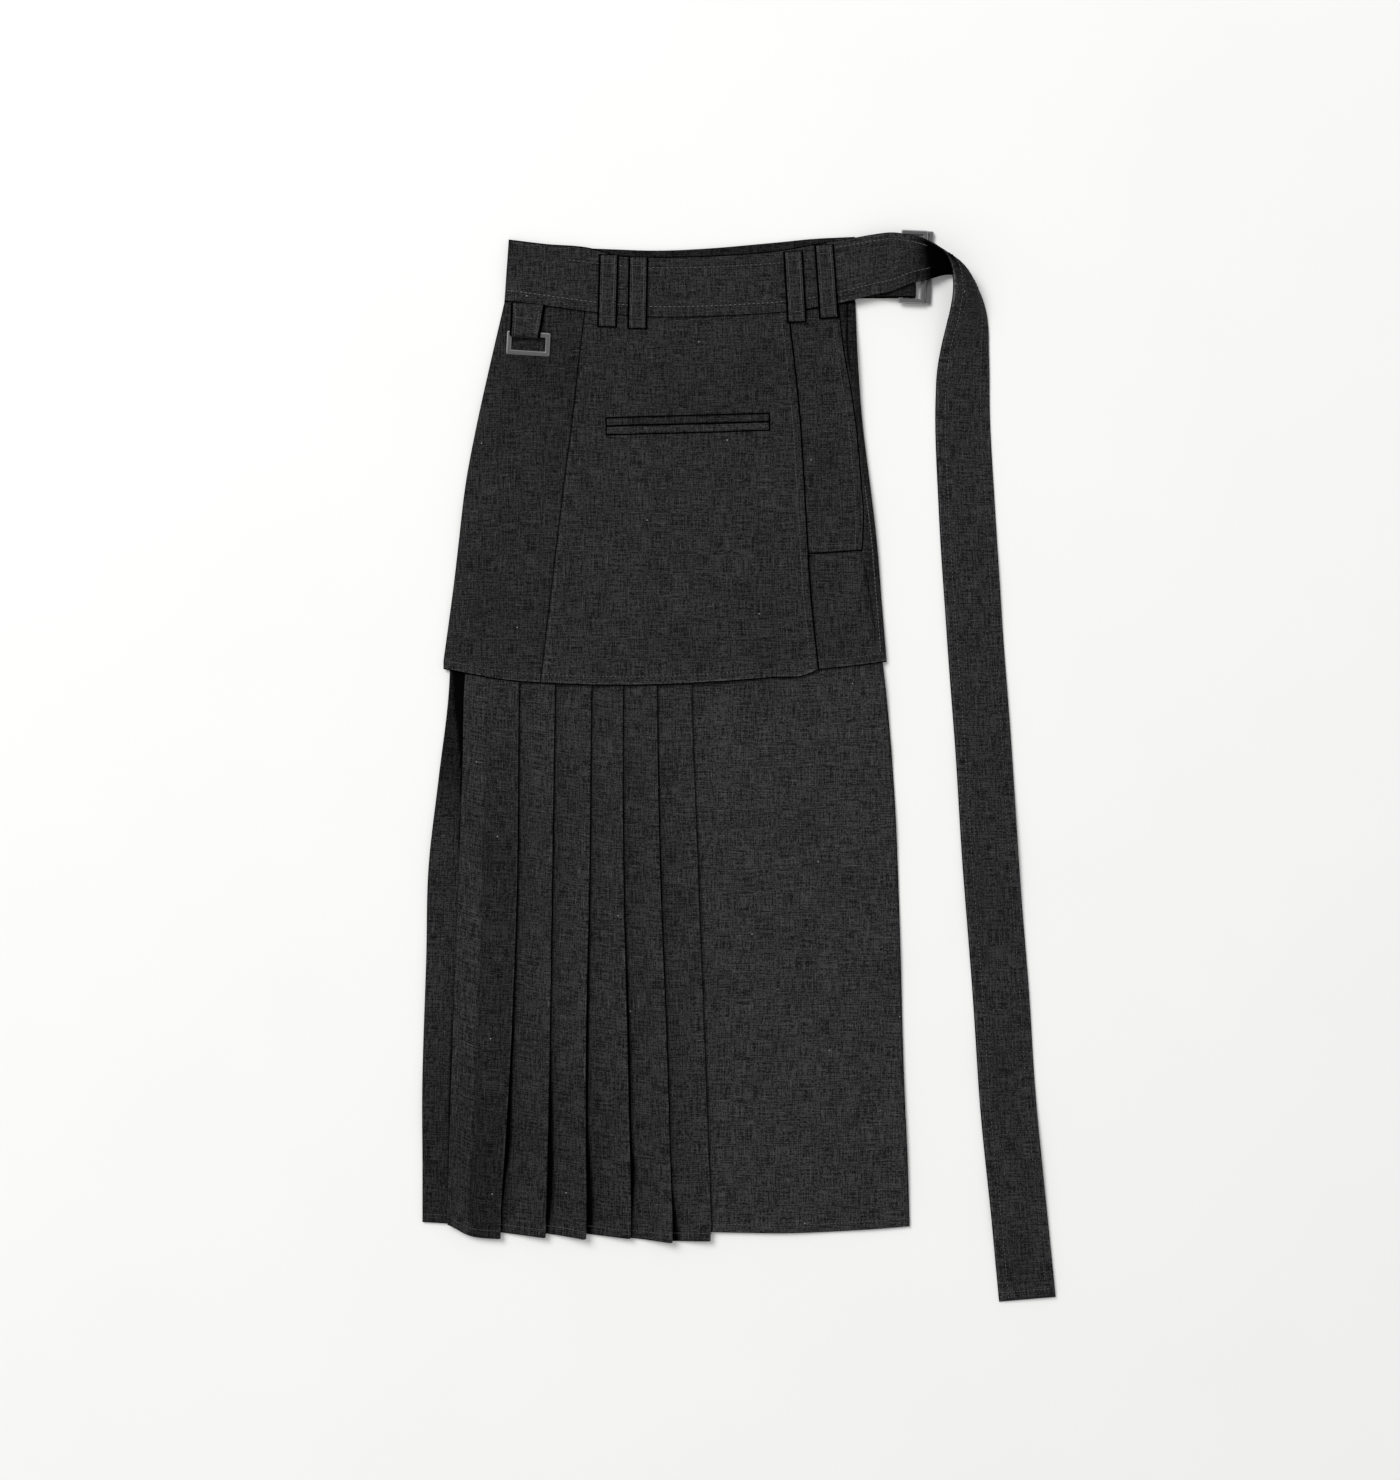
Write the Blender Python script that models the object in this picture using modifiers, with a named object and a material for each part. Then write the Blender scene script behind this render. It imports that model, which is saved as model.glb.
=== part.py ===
"""Pleated skirt with a short over-skirt, laid out flat, front side up.

Lengths are millimetres, turned to metres when a mesh is made. X runs to the right of the
garment as it lies, Y runs from the hem to the waist and Z is up. The origin is on the
ground, at the middle of the whole outline.
"""
import math

import bmesh
import bpy
import numpy as np

MM = 0.001
GAP = 0.3
CHARCOAL = (0.024, 0.024, 0.025)
GUNMETAL = (0.11, 0.11, 0.11)

# Walls
CLOTH = 1.0
BAND = 2.2
BACK_BAND = 2.5
BELT = 2.0

# Heights of the layers' lower faces, from the ground up, under the over-skirt
SHORT_BACK_Z = 0.0
LONG_BACK_Z = SHORT_BACK_Z + CLOTH + GAP
FOLD_LOW_Z = LONG_BACK_Z + CLOTH + GAP
FOLD_MID_Z = FOLD_LOW_Z + CLOTH + GAP
FOLD_TOP_Z = FOLD_MID_Z + CLOTH + GAP
FLAP_Z = FOLD_TOP_Z + CLOTH + GAP
FLAP_TOP = FLAP_Z + CLOTH
BAND_LOWER_Z = 5.8
BAND_UPPER_Z = 2.9
BAND_SIDE = 9.0
# How far the band's left end leans in towards its top, and over what width
BAND_LEAN = 3.8
BAND_LEAN_OVER = 40.0

# Below the over-skirt's hem the long skirt settles by one layer between these two heights in Y
SETTLE_FROM_Y = 70.0
SETTLE_TO_Y = 40.0

# Rows that every lengthwise grid shares, between its own top edge and its own hem
SHORT_ROWS = (395, 350, 300, 250, 200, 150, 110)
LONG_ROWS = SHORT_ROWS + (70, 40, -10, -60, -110, -160, -210, -260, -310, -360, -400)

# Pleats: how far each fold runs back under itself, and how far it lifts at the hem
FOLD_UNDER = 12.0
BOX_UNDER = 13.0
FOLD_LIFT = 3.0
FOLD_LIFT_OVER = 400.0
FOLD_CLEAR = 1.5
SEAM_UNDER_FOLD = 4.0
SIDE_SHOULDER = 4.2
BOX_SHOULDER = 3.0

# Tables: each key is a column, and each place in the columns is a row
OVERSKIRT_SIDES = {
    "y":     (418, 365, 311, 257, 203, 149, 94),
    "left":  (-211, -223, -235, -245.5, -252, -258.5, -266),
    "right": (104, 106, 110, 116.5, 123, 127.5, 132),
}
LONG_SIDES = {
    "y":     (418, 365, 311, 257, 203, 149, 94, 68, -13, -94, -175, -283, -364, -413),
    "left":  (-206, -218, -230, -240.5, -247, -253.5, -259.5, -261, -270.5, -279.5, -281.5,
              -285, -285, -285),
    "right": (99.5, 101.5, 105.5, 112, 118.5, 123, 128, 131, 138, 142, 144.5, 147.5, 151, 152.5),
}
# Fold edges of the pleated panel: the box fold opens to the left, the six knife folds to the right
FOLDS = {
    "y":     (410, 68, -94, -256, -400),
    "box":   (-203, -249, -253, -258, -262.5),
    "fold1": (-174, -198.5, -200.5, -206.5, -215.5),
    "fold2": (-146, -166, -169, -171.5, -175),
    "fold3": (-118, -133.5, -135.5, -139, -139),
    "fold4": (-91, -105, -105, -101.5, -98.5),
    "fold5": (-63, -74.5, -72, -66, -61.5),
    "fold6": (-36, -43.5, -38, -32, -26.5),
}
KNIVES = ("fold1", "fold2", "fold3", "fold4", "fold5", "fold6")
# Hem of each pleat where it comes out from under its neighbour, and at its own fold
PLEAT_HEMS = {
    "emerging": (-421, -418.5, -419, -419, -424.5, -426.5),
    "folded":   (-423.5, -423.5, -424.5, -424.5, -427, -426.5),
}
STRIP_HEM = -411.5
BOX_HEM = -417.0
UNDER_HEM_RISE = 2.0

BAND_EDGES = {
    "x":          (-212, -175, -135, -110, -80, -27, 14, 41, 60, 105),
    "lower":      (418.5, 413.5, 408, 405.5, 403.5, 404, 406, 408, 410.5, 418.5),
    "front_top":  (472, 468, 464.5, 458, 456.5, 457.5, 460, 463, 466.5, 474),
    "back_top":   (472, 468, 465.5, 464.5, 463.5, 465.5, 469, 471.5, 473.5, 476),
}
SHORT_HEM = {
    "x": (-266, -243, -207, -171, -81, -9, 28, 63, 70),
    "y": (89.5, 82, 77, 74, 73, 76.5, 79.5, 83, 86.5),
}
LONG_BACK_HEM = {"x": (-285, -200, -110, -30, 153), "y": (-407, -415, -417, -414, -408)}
RIGHT_HEM = {"x": (40, 71, 98, 132), "y": (85, 87, 89.5, 94)}
PLAIN_HEM = {"x": (-30, 45, 125, 153), "y": (-418, -420, -416.5, -413)}
LEFT_SEAM = {
    "y": (407, 365, 311, 257, 203, 149, 77),
    "x": (-139, -144, -150, -157, -163.6, -170, -178.4),
}
FLAP_EDGE = {
    "y": (404, 365, 311, 257, 203, 149, 87),
    "x": (43.5, 48, 53.5, 57, 60, 63.5, 70),
}
PATCH_EDGE = {
    "y": (417, 372, 336, 313, 280, 254, 229, 193),
    "x": (88, 93, 99.5, 103, 106.5, 108.5, 110.5, 109.5),
}
PATCH_BOTTOM = {"x": (48, 61, 110), "y": (190.5, 191, 194)}
PATCH_UNDER_FLAP = 12.0
RIGHT_UNDER_FLAP = 25.0
# The flap's right side comes down by one layer below the patch
FLAP_DROOP = {"from_y": 150.0, "over_y": 40.0, "past_fold": 12.0, "over_x": 30.0}

# Welt pocket on the front flap: two lips with a slot between them
WELT_LEFT, WELT_RIGHT = -119.0, 26.0
WELT_MIDDLE_Y = {"left": 304.3, "right": 308.4}
WELT_LIP = 6.5
WELT_SLOT = 1.0

# Belt loops: the middle of each one's upper and lower end
LOOPS = {
    "upper_x": (-117.4, -90.9, 48.1, 76.0),
    "upper_y": (458.4, 456.4, 461.4, 467.6),
    "lower_x": (-119.0, -91.9, 51.5, 80.3),
    "lower_y": (394.4, 392.9, 398.8, 402.5),
}
LOOP_WIDTH = 14.0
LOOP_WALL = 1.2
LOOP_CLEAR = 0.1
LOOP_STEP_DOWN = 6.0

# Belt: the upper edge turns over and becomes the left edge of the hanging part
BELT_TURN = {
    "upper_x": (78.3, 99.5, 119.5, 137, 153, 165, 175.5, 183, 187.5, 190, 191, 189.5, 186, 182,
                178.5, 177.5),
    "upper_y": (469.5, 472.7, 475.9, 477.5, 475, 471, 464.5, 457.5, 449, 439, 426, 411, 394.5,
                376.5, 354, 329.5),
    "upper_z": (2.9, 4.5, 6.8, 8.4, 10.5, 16, 21, 24.5, 26, 25.5, 23, 18, 12, 7, 3, 0.5),
    "lower_x": (78.3, 99.5, 119.5, 137.5, 154, 171, 183, 191.5, 199, 208, 216, 221.5, 224, 224.5,
                225, 225),
    "lower_y": (413.5, 418, 422.8, 426.5, 433, 437, 441, 442, 441, 435.5, 425.5, 411, 394, 374.5,
                351.5, 327.5),
    "lower_z": (5.8, 6.4, 7.2, 8.2, 8.4, 8.2, 5, 2.5, 1, 0, 0, 0, 0, 0, 0, 0),
    "bulge":   (0, 0, 0, 0, 0, 2, 4, 6, 7, 7.5, 7, 6, 5, 3.5, 2, 1),
}
BELT_HANG = {
    "y": (229.5, 121.5, 13.5, -94.5, -202.5, -310.5, -418.5, -480.5),
    "x": (205.2, 212, 220, 226.8, 235.4, 242.6, 253.4, 259.5),
}
BELT_WIDTH = 49.5
BELT_END_SLANT = 4.5
BELT_SPANS = 6

# Side ring and its tab, near the left end of the waistband
RING = {"width": 38.9, "height": 20.8, "bar": 4.2, "thick": 2.4, "chamfer": 0.6}
RING_TILT = math.radians(-3.6)
RING_DROOP = math.radians(7.3)
RING_BAR_X, RING_BAR_Y = -189.1, 386.6
TAB_WIDTH, TAB_TOP_WIDTH = 23.0, 26.4
TAB_SHIFT, TAB_TOP_SHIFT = -3.45, -2.5
TAB_LOOP_RADIUS = 3.05
TAB_ARC_STEPS = 8
TAB_PINCH = 9.0
TAB_LENGTH = 27.5

# Buckle: two rings side by side in the tab at the waistband's right end
BUCKLE = {"width": 24.0, "height": 66.0, "bar": 4.5, "thick": 2.3, "chamfer": 0.6}
BUCKLE_TILT = math.radians(-2.7)
BUCKLE_Y = 448.3
OUTER_RING_X = 161.6
INNER_RING_X = OUTER_RING_X - 5.4
OUTER_RING_Z = CLOTH + GAP
INNER_RING_Z = OUTER_RING_Z + BUCKLE["thick"] + GAP
BUCKLE_TAB = {"left": 105.2, "right": 158.8, "low_y": 421.7, "high_y": 471.7,
              "rise_from": 113.0, "rise_to": 137.0}


def smooth_at(knots, values, at):
    """Read a smooth curve through the knots: cubic pieces with central-difference slopes."""
    knots, values, at = (np.asarray(item, dtype=float) for item in (knots, values, at))
    order = np.argsort(knots)
    knots, values = knots[order], values[order]
    slopes = np.gradient(values, knots, axis=0)
    at = np.clip(at, knots[0], knots[-1])
    cell = np.clip(np.searchsorted(knots, at, side="right") - 1, 0, len(knots) - 2)
    span = knots[cell + 1] - knots[cell]
    t = (at - knots[cell]) / span
    if values.ndim > 1:
        t, span = t[..., None], span[..., None]
    return ((1 + 2 * t) * (1 - t) ** 2 * values[cell] + t * (1 - t) ** 2 * span * slopes[cell]
            + t * t * (3 - 2 * t) * values[cell + 1] - t * t * (1 - t) * span * slopes[cell + 1])


def read(table, column, at, by="y"):
    """Value of a table's column at a place along its first column."""
    return smooth_at(table[by], table[column], at)


def settle(y):
    """How far a layer has come down to the ground at y, past the over-skirt's back hem."""
    return (CLOTH + GAP) * np.clip((SETTLE_FROM_Y - y) / (SETTLE_FROM_Y - SETTLE_TO_Y), 0, 1)


def top_edge(x):
    """Y where the panels meet the waistband."""
    return read(BAND_EDGES, "lower", x, by="x") - GAP


def lay_rows(columns, count, middles, top_of, hem_of):
    """Points of a panel, row by row: its top edge, the shared rows, then its hem.

    columns gives x and z for an array of y; top_of and hem_of give y for an array of x.
    """
    rows = []
    for row in (top_of, *middles, hem_of):
        y = np.full(count, middles[0] if row is top_of else middles[-1], dtype=float)
        if callable(row):
            for _ in range(3):
                y = np.broadcast_to(row(columns(y)[0]), count)
        else:
            y = np.full(count, row, dtype=float)
        x, z = columns(y)
        rows.append(np.stack([x, y, z], axis=-1))
    return np.array(rows)


def new_object(name, colour, mesh, metallic=0.0, roughness=0.9):
    """Put a mesh in the skirt's collection, with a material of its own."""
    material = bpy.data.materials.new(name + "_finish")
    material.use_nodes = True
    shader = material.node_tree.nodes["Principled BSDF"]
    shader.inputs["Base Color"].default_value = (*colour, 1.0)
    shader.inputs["Roughness"].default_value = roughness
    shader.inputs["Metallic"].default_value = metallic
    mesh.materials.append(material)
    made = bpy.data.objects.new(name, mesh)
    COLLECTION.objects.link(made)
    return made


def grid_faces(bm, points):
    """Add an open grid of quads, its upper side facing up."""
    verts = [[bm.verts.new(point * MM) for point in row] for row in points]
    for upper, lower in zip(verts, verts[1:]):
        for k in range(len(upper) - 1):
            bm.faces.new((lower[k], lower[k + 1], upper[k + 1], upper[k]))


def cloth(name, points, wall=CLOTH, colour=None):
    """A laid panel: a grid of its lower face, drawn straight up by the wall."""
    bm = bmesh.new()
    grid_faces(bm, points)
    raised = bmesh.ops.extrude_face_region(bm, geom=bm.faces[:])["geom"]
    verts = [item for item in raised if isinstance(item, bmesh.types.BMVert)]
    bmesh.ops.translate(bm, verts=verts, vec=(0, 0, wall * MM))
    bmesh.ops.recalc_face_normals(bm, faces=bm.faces[:])
    mesh = bpy.data.meshes.new(name)
    bm.to_mesh(mesh)
    bm.free()
    return new_object(name, colour or CHARCOAL, mesh)


def offset_path(path, distance):
    """Move an open path sideways, to its left where distance is positive, with mitred corners."""
    step = np.diff(path, axis=0)
    step /= np.linalg.norm(step, axis=1)[:, None]
    left = np.stack([-step[:, 1], step[:, 0]], axis=1)
    before, after = np.vstack([left[:1], left]), np.vstack([left, left[-1:]])
    mitre = (before + after) / (1 + np.sum(before * after, axis=1))[:, None]
    return path + distance * mitre


def strip_ring(path, wall):
    """Closed outline of a folded strip of cloth whose middle line is the path."""
    return np.vstack([offset_path(path, wall / 2), offset_path(path, -wall / 2)[::-1]])


def loft(name, rings, colour=None):
    """A folded strip drawn through a row of closed outlines, with both ends closed."""
    bm = bmesh.new()
    verts = [[bm.verts.new(point * MM) for point in ring] for ring in rings]
    count = len(rings[0])
    for upper, lower in zip(verts, verts[1:]):
        for k in range(count):
            following = (k + 1) % count
            bm.faces.new((upper[k], upper[following], lower[following], lower[k]))
    for ring in (verts[0], verts[-1]):
        for k in range(count // 2 - 1):
            bm.faces.new((ring[k], ring[k + 1], ring[count - 2 - k], ring[count - 1 - k]))
    bmesh.ops.recalc_face_normals(bm, faces=bm.faces[:])
    mesh = bpy.data.meshes.new(name)
    bm.to_mesh(mesh)
    bm.free()
    return new_object(name, colour or CHARCOAL, mesh)


def make_backs():
    """Back of the over-skirt on the ground, and the back of the long skirt on it."""
    across = np.linspace(0, 1, 17)

    def short_back(y):
        left, right = read(OVERSKIRT_SIDES, "left", y), read(OVERSKIRT_SIDES, "right", y)
        return left + (right - left) * across, np.full(17, SHORT_BACK_Z)

    def long_back(y):
        left, right = read(LONG_SIDES, "left", y), read(LONG_SIDES, "right", y)
        return left + (right - left) * across, LONG_BACK_Z - settle(y)

    def short_hem(x):
        rise = np.clip((x - SHORT_HEM["x"][-1]) / (RIGHT_HEM["x"][-1] - SHORT_HEM["x"][-1]), 0, 1)
        return read(SHORT_HEM, "y", x, by="x") + rise * (RIGHT_HEM["y"][-1] - SHORT_HEM["y"][-1])

    def long_hem(x):
        return read(LONG_BACK_HEM, "y", x, by="x")

    cloth("overskirt_back", lay_rows(short_back, 17, SHORT_ROWS, top_edge, short_hem))
    cloth("long_back", lay_rows(long_back, 17, LONG_ROWS, top_edge, long_hem))


def pleat_columns(y):
    """Middle line of the pleated panel across the skirt, folded at each table edge."""
    half = CLOTH / 2
    low, middle, top = FOLD_LOW_Z + half, FOLD_MID_Z + half, FOLD_TOP_Z + half
    lift = FOLD_LIFT * np.clip(-y / FOLD_LIFT_OVER, 0, 1)
    places = [(read(LONG_SIDES, "left", y), low, 0)]
    box = read(FOLDS, "box", y)
    places += [(box + BOX_UNDER - half, low, 0), (box + BOX_UNDER - half, middle, 0),
               (box + half, middle, 0.6), (box + half, top, 1)]
    for number, name in enumerate(KNIVES):
        edge = read(FOLDS, name, y)
        if number:
            places += [(read(FOLDS, KNIVES[number - 1], y) + FOLD_CLEAR, low, 0),
                       (edge - FOLD_UNDER - FOLD_CLEAR, top, 1)]
        places += [(edge - half, top, 1), (edge - half, middle, 0.6),
                   (edge - FOLD_UNDER + half, middle, 0), (edge - FOLD_UNDER + half, low, 0)]
    places.append((read(FOLDS, KNIVES[-1], y) - SEAM_UNDER_FOLD, low, 0))
    x = np.array([place[0][k] for k, place in enumerate(places)])
    z = np.array([place[1] + place[2] * lift[k] for k, place in enumerate(places)])
    return x, z - settle(y)


def pleat_hems():
    """Hem of the pleated panel, for each place on its middle line."""
    emerging, folded = PLEAT_HEMS["emerging"], PLEAT_HEMS["folded"]
    hems = [STRIP_HEM, STRIP_HEM - 1, BOX_HEM + UNDER_HEM_RISE, BOX_HEM, BOX_HEM]
    for number in range(len(KNIVES)):
        if number:
            hems += [emerging[number], (emerging[number] + folded[number]) / 2]
        under = folded[number] + UNDER_HEM_RISE
        hems += [folded[number], folded[number], under, under]
    return np.array(hems + [PLAIN_HEM["y"][0]])


def make_long_front():
    """Pleated panel, and the plain panel sewn to it under the last fold."""
    hems = pleat_hems()
    middle = lay_rows(pleat_columns, len(hems), LONG_ROWS, top_edge, lambda x: hems)
    rings = []
    for row in middle:
        outline = strip_ring(row[:, [0, 2]], CLOTH)
        y = np.concatenate([row[:, 1], row[::-1, 1]])
        rings.append(np.stack([outline[:, 0], y, outline[:, 1]], axis=-1))
    loft("pleated_front", rings)

    across = np.linspace(0, 1, 10)

    def plain(y):
        left = read(FOLDS, KNIVES[-1], y) - SEAM_UNDER_FOLD + GAP
        right = read(LONG_SIDES, "right", y)
        return left + (right - left) * across, FOLD_LOW_Z - settle(y)

    cloth("plain_front", lay_rows(plain, 10, LONG_ROWS, top_edge,
                                  lambda x: read(PLAIN_HEM, "y", x, by="x")))


def make_overskirt_front():
    """Left panel, front flap and right panel of the over-skirt, and the patch under the flap."""
    def left_panel(y):
        left, box, seam = (read(OVERSKIRT_SIDES, "left", y), read(FOLDS, "box", y),
                           read(LEFT_SEAM, "x", y) - GAP)
        fixed = [(left, LONG_BACK_Z), (left + SIDE_SHOULDER, FOLD_MID_Z),
                 (box - BOX_SHOULDER, FLAP_Z - CLOTH), (box - CLOTH, FLAP_Z)]
        fixed += [(box + (seam - box) * part, FLAP_Z) for part in (0.2, 0.4, 0.6, 0.8, 1.0)]
        return (np.array([x[k] for k, (x, z) in enumerate(fixed)]),
                np.array([z for x, z in fixed], dtype=float))

    def droop(y):
        fallen = np.clip((FLAP_DROOP["from_y"] - y) / FLAP_DROOP["over_y"], 0, 1)
        return fallen * (CLOTH + GAP)

    across = np.linspace(0, 1, 13)

    def flap(y):
        seam, edge = read(LEFT_SEAM, "x", y), read(FLAP_EDGE, "x", y)
        x = seam + (edge - seam) * across
        reach = np.clip((x - read(FOLDS, "fold6", y) - FLAP_DROOP["past_fold"])
                        / FLAP_DROOP["over_x"], 0, 1)
        return x, FLAP_Z - droop(y) * reach

    def right_panel(y):
        start, right = read(FLAP_EDGE, "x", y) - RIGHT_UNDER_FLAP, read(OVERSKIRT_SIDES, "right", y)
        shoulder = right - SIDE_SHOULDER
        x = np.where(across < 1, start + (shoulder - start) * across * 13 / 12, right)
        x[-2] = shoulder[-2]
        return x, np.where(across < 1, FOLD_MID_Z, LONG_BACK_Z)

    def patch(y):
        start = read(FLAP_EDGE, "x", y) - PATCH_UNDER_FLAP
        return start + (read(PATCH_EDGE, "x", y) - start) * across[::2], np.full(7, FOLD_TOP_Z)

    def flap_hem(x):
        return read(SHORT_HEM, "y", x, by="x")

    cloth("overskirt_left", lay_rows(left_panel, 9, SHORT_ROWS, top_edge, flap_hem))
    cloth("overskirt_flap", lay_rows(flap, 13, SHORT_ROWS, top_edge, flap_hem))
    cloth("overskirt_right", lay_rows(right_panel, 13, SHORT_ROWS, top_edge,
                                      lambda x: read(RIGHT_HEM, "y", x, by="x")))
    cloth("pocket_patch", lay_rows(patch, 7, SHORT_ROWS[:5], top_edge,
                                   lambda x: read(PATCH_BOTTOM, "y", x, by="x")))


def make_welts():
    """Two lips of the welt pocket, side by side on the flap."""
    slope = math.atan2(WELT_MIDDLE_Y["right"] - WELT_MIDDLE_Y["left"], WELT_RIGHT - WELT_LEFT)
    middle = np.array([(WELT_LEFT + WELT_RIGHT) / 2,
                       (WELT_MIDDLE_Y["left"] + WELT_MIDDLE_Y["right"]) / 2])
    for name, side in (("welt_upper", 1), ("welt_lower", -1)):
        bm = bmesh.new()
        bmesh.ops.create_cube(bm, size=1.0)
        size = (WELT_RIGHT - WELT_LEFT, WELT_LIP, CLOTH)
        bmesh.ops.scale(bm, vec=[value * MM for value in size], verts=bm.verts[:])
        mesh = bpy.data.meshes.new(name)
        bm.to_mesh(mesh)
        bm.free()
        lip = new_object(name, CHARCOAL, mesh)
        away = side * (WELT_LIP + WELT_SLOT) / 2
        lip.location = ((middle[0] - away * math.sin(slope)) * MM,
                        (middle[1] + away * math.cos(slope)) * MM,
                        (FLAP_TOP + GAP + CLOTH / 2) * MM)
        lip.rotation_euler = (0, 0, slope)
        soften = lip.modifiers.new("rounded edges", "BEVEL")
        soften.width = 0.3 * MM
        soften.segments = 1


def band_floor(x, y):
    """Height of the front waistband's lower face."""
    low, high = read(BAND_EDGES, "lower", x, by="x"), read(BAND_EDGES, "front_top", x, by="x")
    part = np.clip((y - low) / (high - low), 0, 1)
    return BAND_LOWER_Z + (BAND_UPPER_Z - BAND_LOWER_Z) * part


def make_waistband():
    """Back and front of the waistband, and the four belt loops sewn over the front."""
    left, right = OVERSKIRT_SIDES["left"][0], OVERSKIRT_SIDES["right"][0]
    parts = np.linspace(0, 1, 5)[::-1]

    def band(xs, top_name, floor):
        low, high = read(BAND_EDGES, "lower", xs, by="x"), read(BAND_EDGES, top_name, xs, by="x")
        y = low + (high - low) * parts[:, None]
        lean = BAND_LEAN * np.clip(1 - (xs - left) / BAND_LEAN_OVER, 0, 1)
        x = xs + lean * parts[:, None]
        return np.stack([x, y, floor(x, y)], axis=-1)

    def front_floor(x, y):
        edge = np.clip((x - left) / BAND_SIDE, 0, 1)
        return BAND_UPPER_Z + (band_floor(x, y) - BAND_UPPER_Z) * edge

    cloth("waistband_back", band(np.linspace(left, right, 18), "back_top",
                                 lambda x, y: np.zeros_like(x)), BACK_BAND)
    flat_xs = np.linspace(left + BAND_SIDE, BELT_TURN["upper_x"][0] - GAP, 17)
    front_xs = np.concatenate([[left, left + BAND_SIDE / 2], flat_xs])
    cloth("waistband_front", band(front_xs, "front_top", front_floor), BAND)

    for number in range(len(LOOPS["upper_x"])):
        upper = np.array([LOOPS["upper_x"][number], LOOPS["upper_y"][number]])
        lower = np.array([LOOPS["lower_x"][number], LOOPS["lower_y"][number]])
        down = (lower - upper) / np.linalg.norm(lower - upper)
        side = np.array([-down[1], down[0]]) * LOOP_WIDTH / 2
        parts_down = np.linspace(0, 1, 9)[:, None]
        spine = upper + (lower - upper) * parts_down
        grid = np.stack([spine - side, spine, spine + side], axis=1)
        x, y = grid[..., 0], grid[..., 1]
        past = np.clip((read(BAND_EDGES, "lower", x, by="x") - y) / LOOP_STEP_DOWN, 0, 1)
        z = band_floor(x, y) + BAND + GAP
        z = z + (FLAP_TOP + GAP - z) * past + LOOP_CLEAR
        cloth(f"belt_loop_{number + 1}", np.dstack([x, y, z]), LOOP_WALL)


def make_belt():
    """Belt: on from the front waistband, turned over at the buckle, then down on the ground."""
    upper, lower = (np.stack([np.array(BELT_TURN[f"{edge}_{axis}"], dtype=float) for axis in "xyz"],
                             axis=1) for edge in ("upper", "lower"))
    y = np.array(BELT_HANG["y"], dtype=float)
    x = np.array(BELT_HANG["x"], dtype=float)
    half = np.array([BELT_WIDTH / 2, 0, 0])
    hang = np.stack([x, y, np.zeros_like(x)], axis=1)
    upper, lower = np.vstack([upper, hang - half]), np.vstack([lower, hang + half])
    upper[-1, 1] -= BELT_END_SLANT / 2
    lower[-1, 1] += BELT_END_SLANT / 2
    bulge = np.concatenate([BELT_TURN["bulge"], np.zeros(len(y))])

    middle = (upper + lower) / 2
    along = np.concatenate([[0], np.cumsum(np.linalg.norm(np.diff(middle, axis=0), axis=1))])
    at = np.sort(np.concatenate([along, (along[1:] + along[:-1]) / 2]))
    upper, lower, bulge = (smooth_at(along, item, at) for item in (upper, lower, bulge))
    middle = (upper + lower) / 2
    chord = upper - lower
    chord /= np.linalg.norm(chord, axis=1)[:, None]
    outward = np.cross(chord, np.gradient(middle, axis=0))
    outward /= np.linalg.norm(outward, axis=1)[:, None]
    part = np.linspace(0, 1, BELT_SPANS + 1)
    arch = 4 * part * (1 - part)
    points = (upper[:, None] + (lower - upper)[:, None] * part[None, :, None]
              + (outward * bulge[:, None])[:, None] * arch[None, :, None])
    points[..., 2] = np.maximum(points[..., 2], 0) + BELT / 2

    bm = bmesh.new()
    grid_faces(bm, points)
    mesh = bpy.data.meshes.new("belt")
    bm.to_mesh(mesh)
    bm.free()
    belt = new_object("belt", CHARCOAL, mesh)
    wall = belt.modifiers.new("wall", "SOLIDIFY")
    wall.thickness = BELT * MM
    wall.offset = 0


def frame_mesh(name, ring, middle):
    """Rectangular ring of flat bar with chamfered edges, centred on the middle."""
    half, cut, bar = ring["thick"] / 2, ring["chamfer"], ring["bar"]
    profile = ((0, cut - half), (0, half - cut), (cut, half), (bar - cut, half),
               (bar, half - cut), (bar, cut - half), (bar - cut, -half), (cut, -half))
    corners = ((1, 1), (-1, 1), (-1, -1), (1, -1))
    bm = bmesh.new()
    verts = [[bm.verts.new(((middle[0] + sx * (ring["width"] / 2 - inset)) * MM,
                            (middle[1] + sy * (ring["height"] / 2 - inset)) * MM, z * MM))
              for inset, z in profile] for sx, sy in corners]
    for here, following in zip(verts, verts[1:] + verts[:1]):
        for k in range(len(profile)):
            after = (k + 1) % len(profile)
            bm.faces.new((here[k], here[after], following[after], following[k]))
    bmesh.ops.recalc_face_normals(bm, faces=bm.faces[:])
    mesh = bpy.data.meshes.new(name)
    bm.to_mesh(mesh)
    bm.free()
    return mesh


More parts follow.
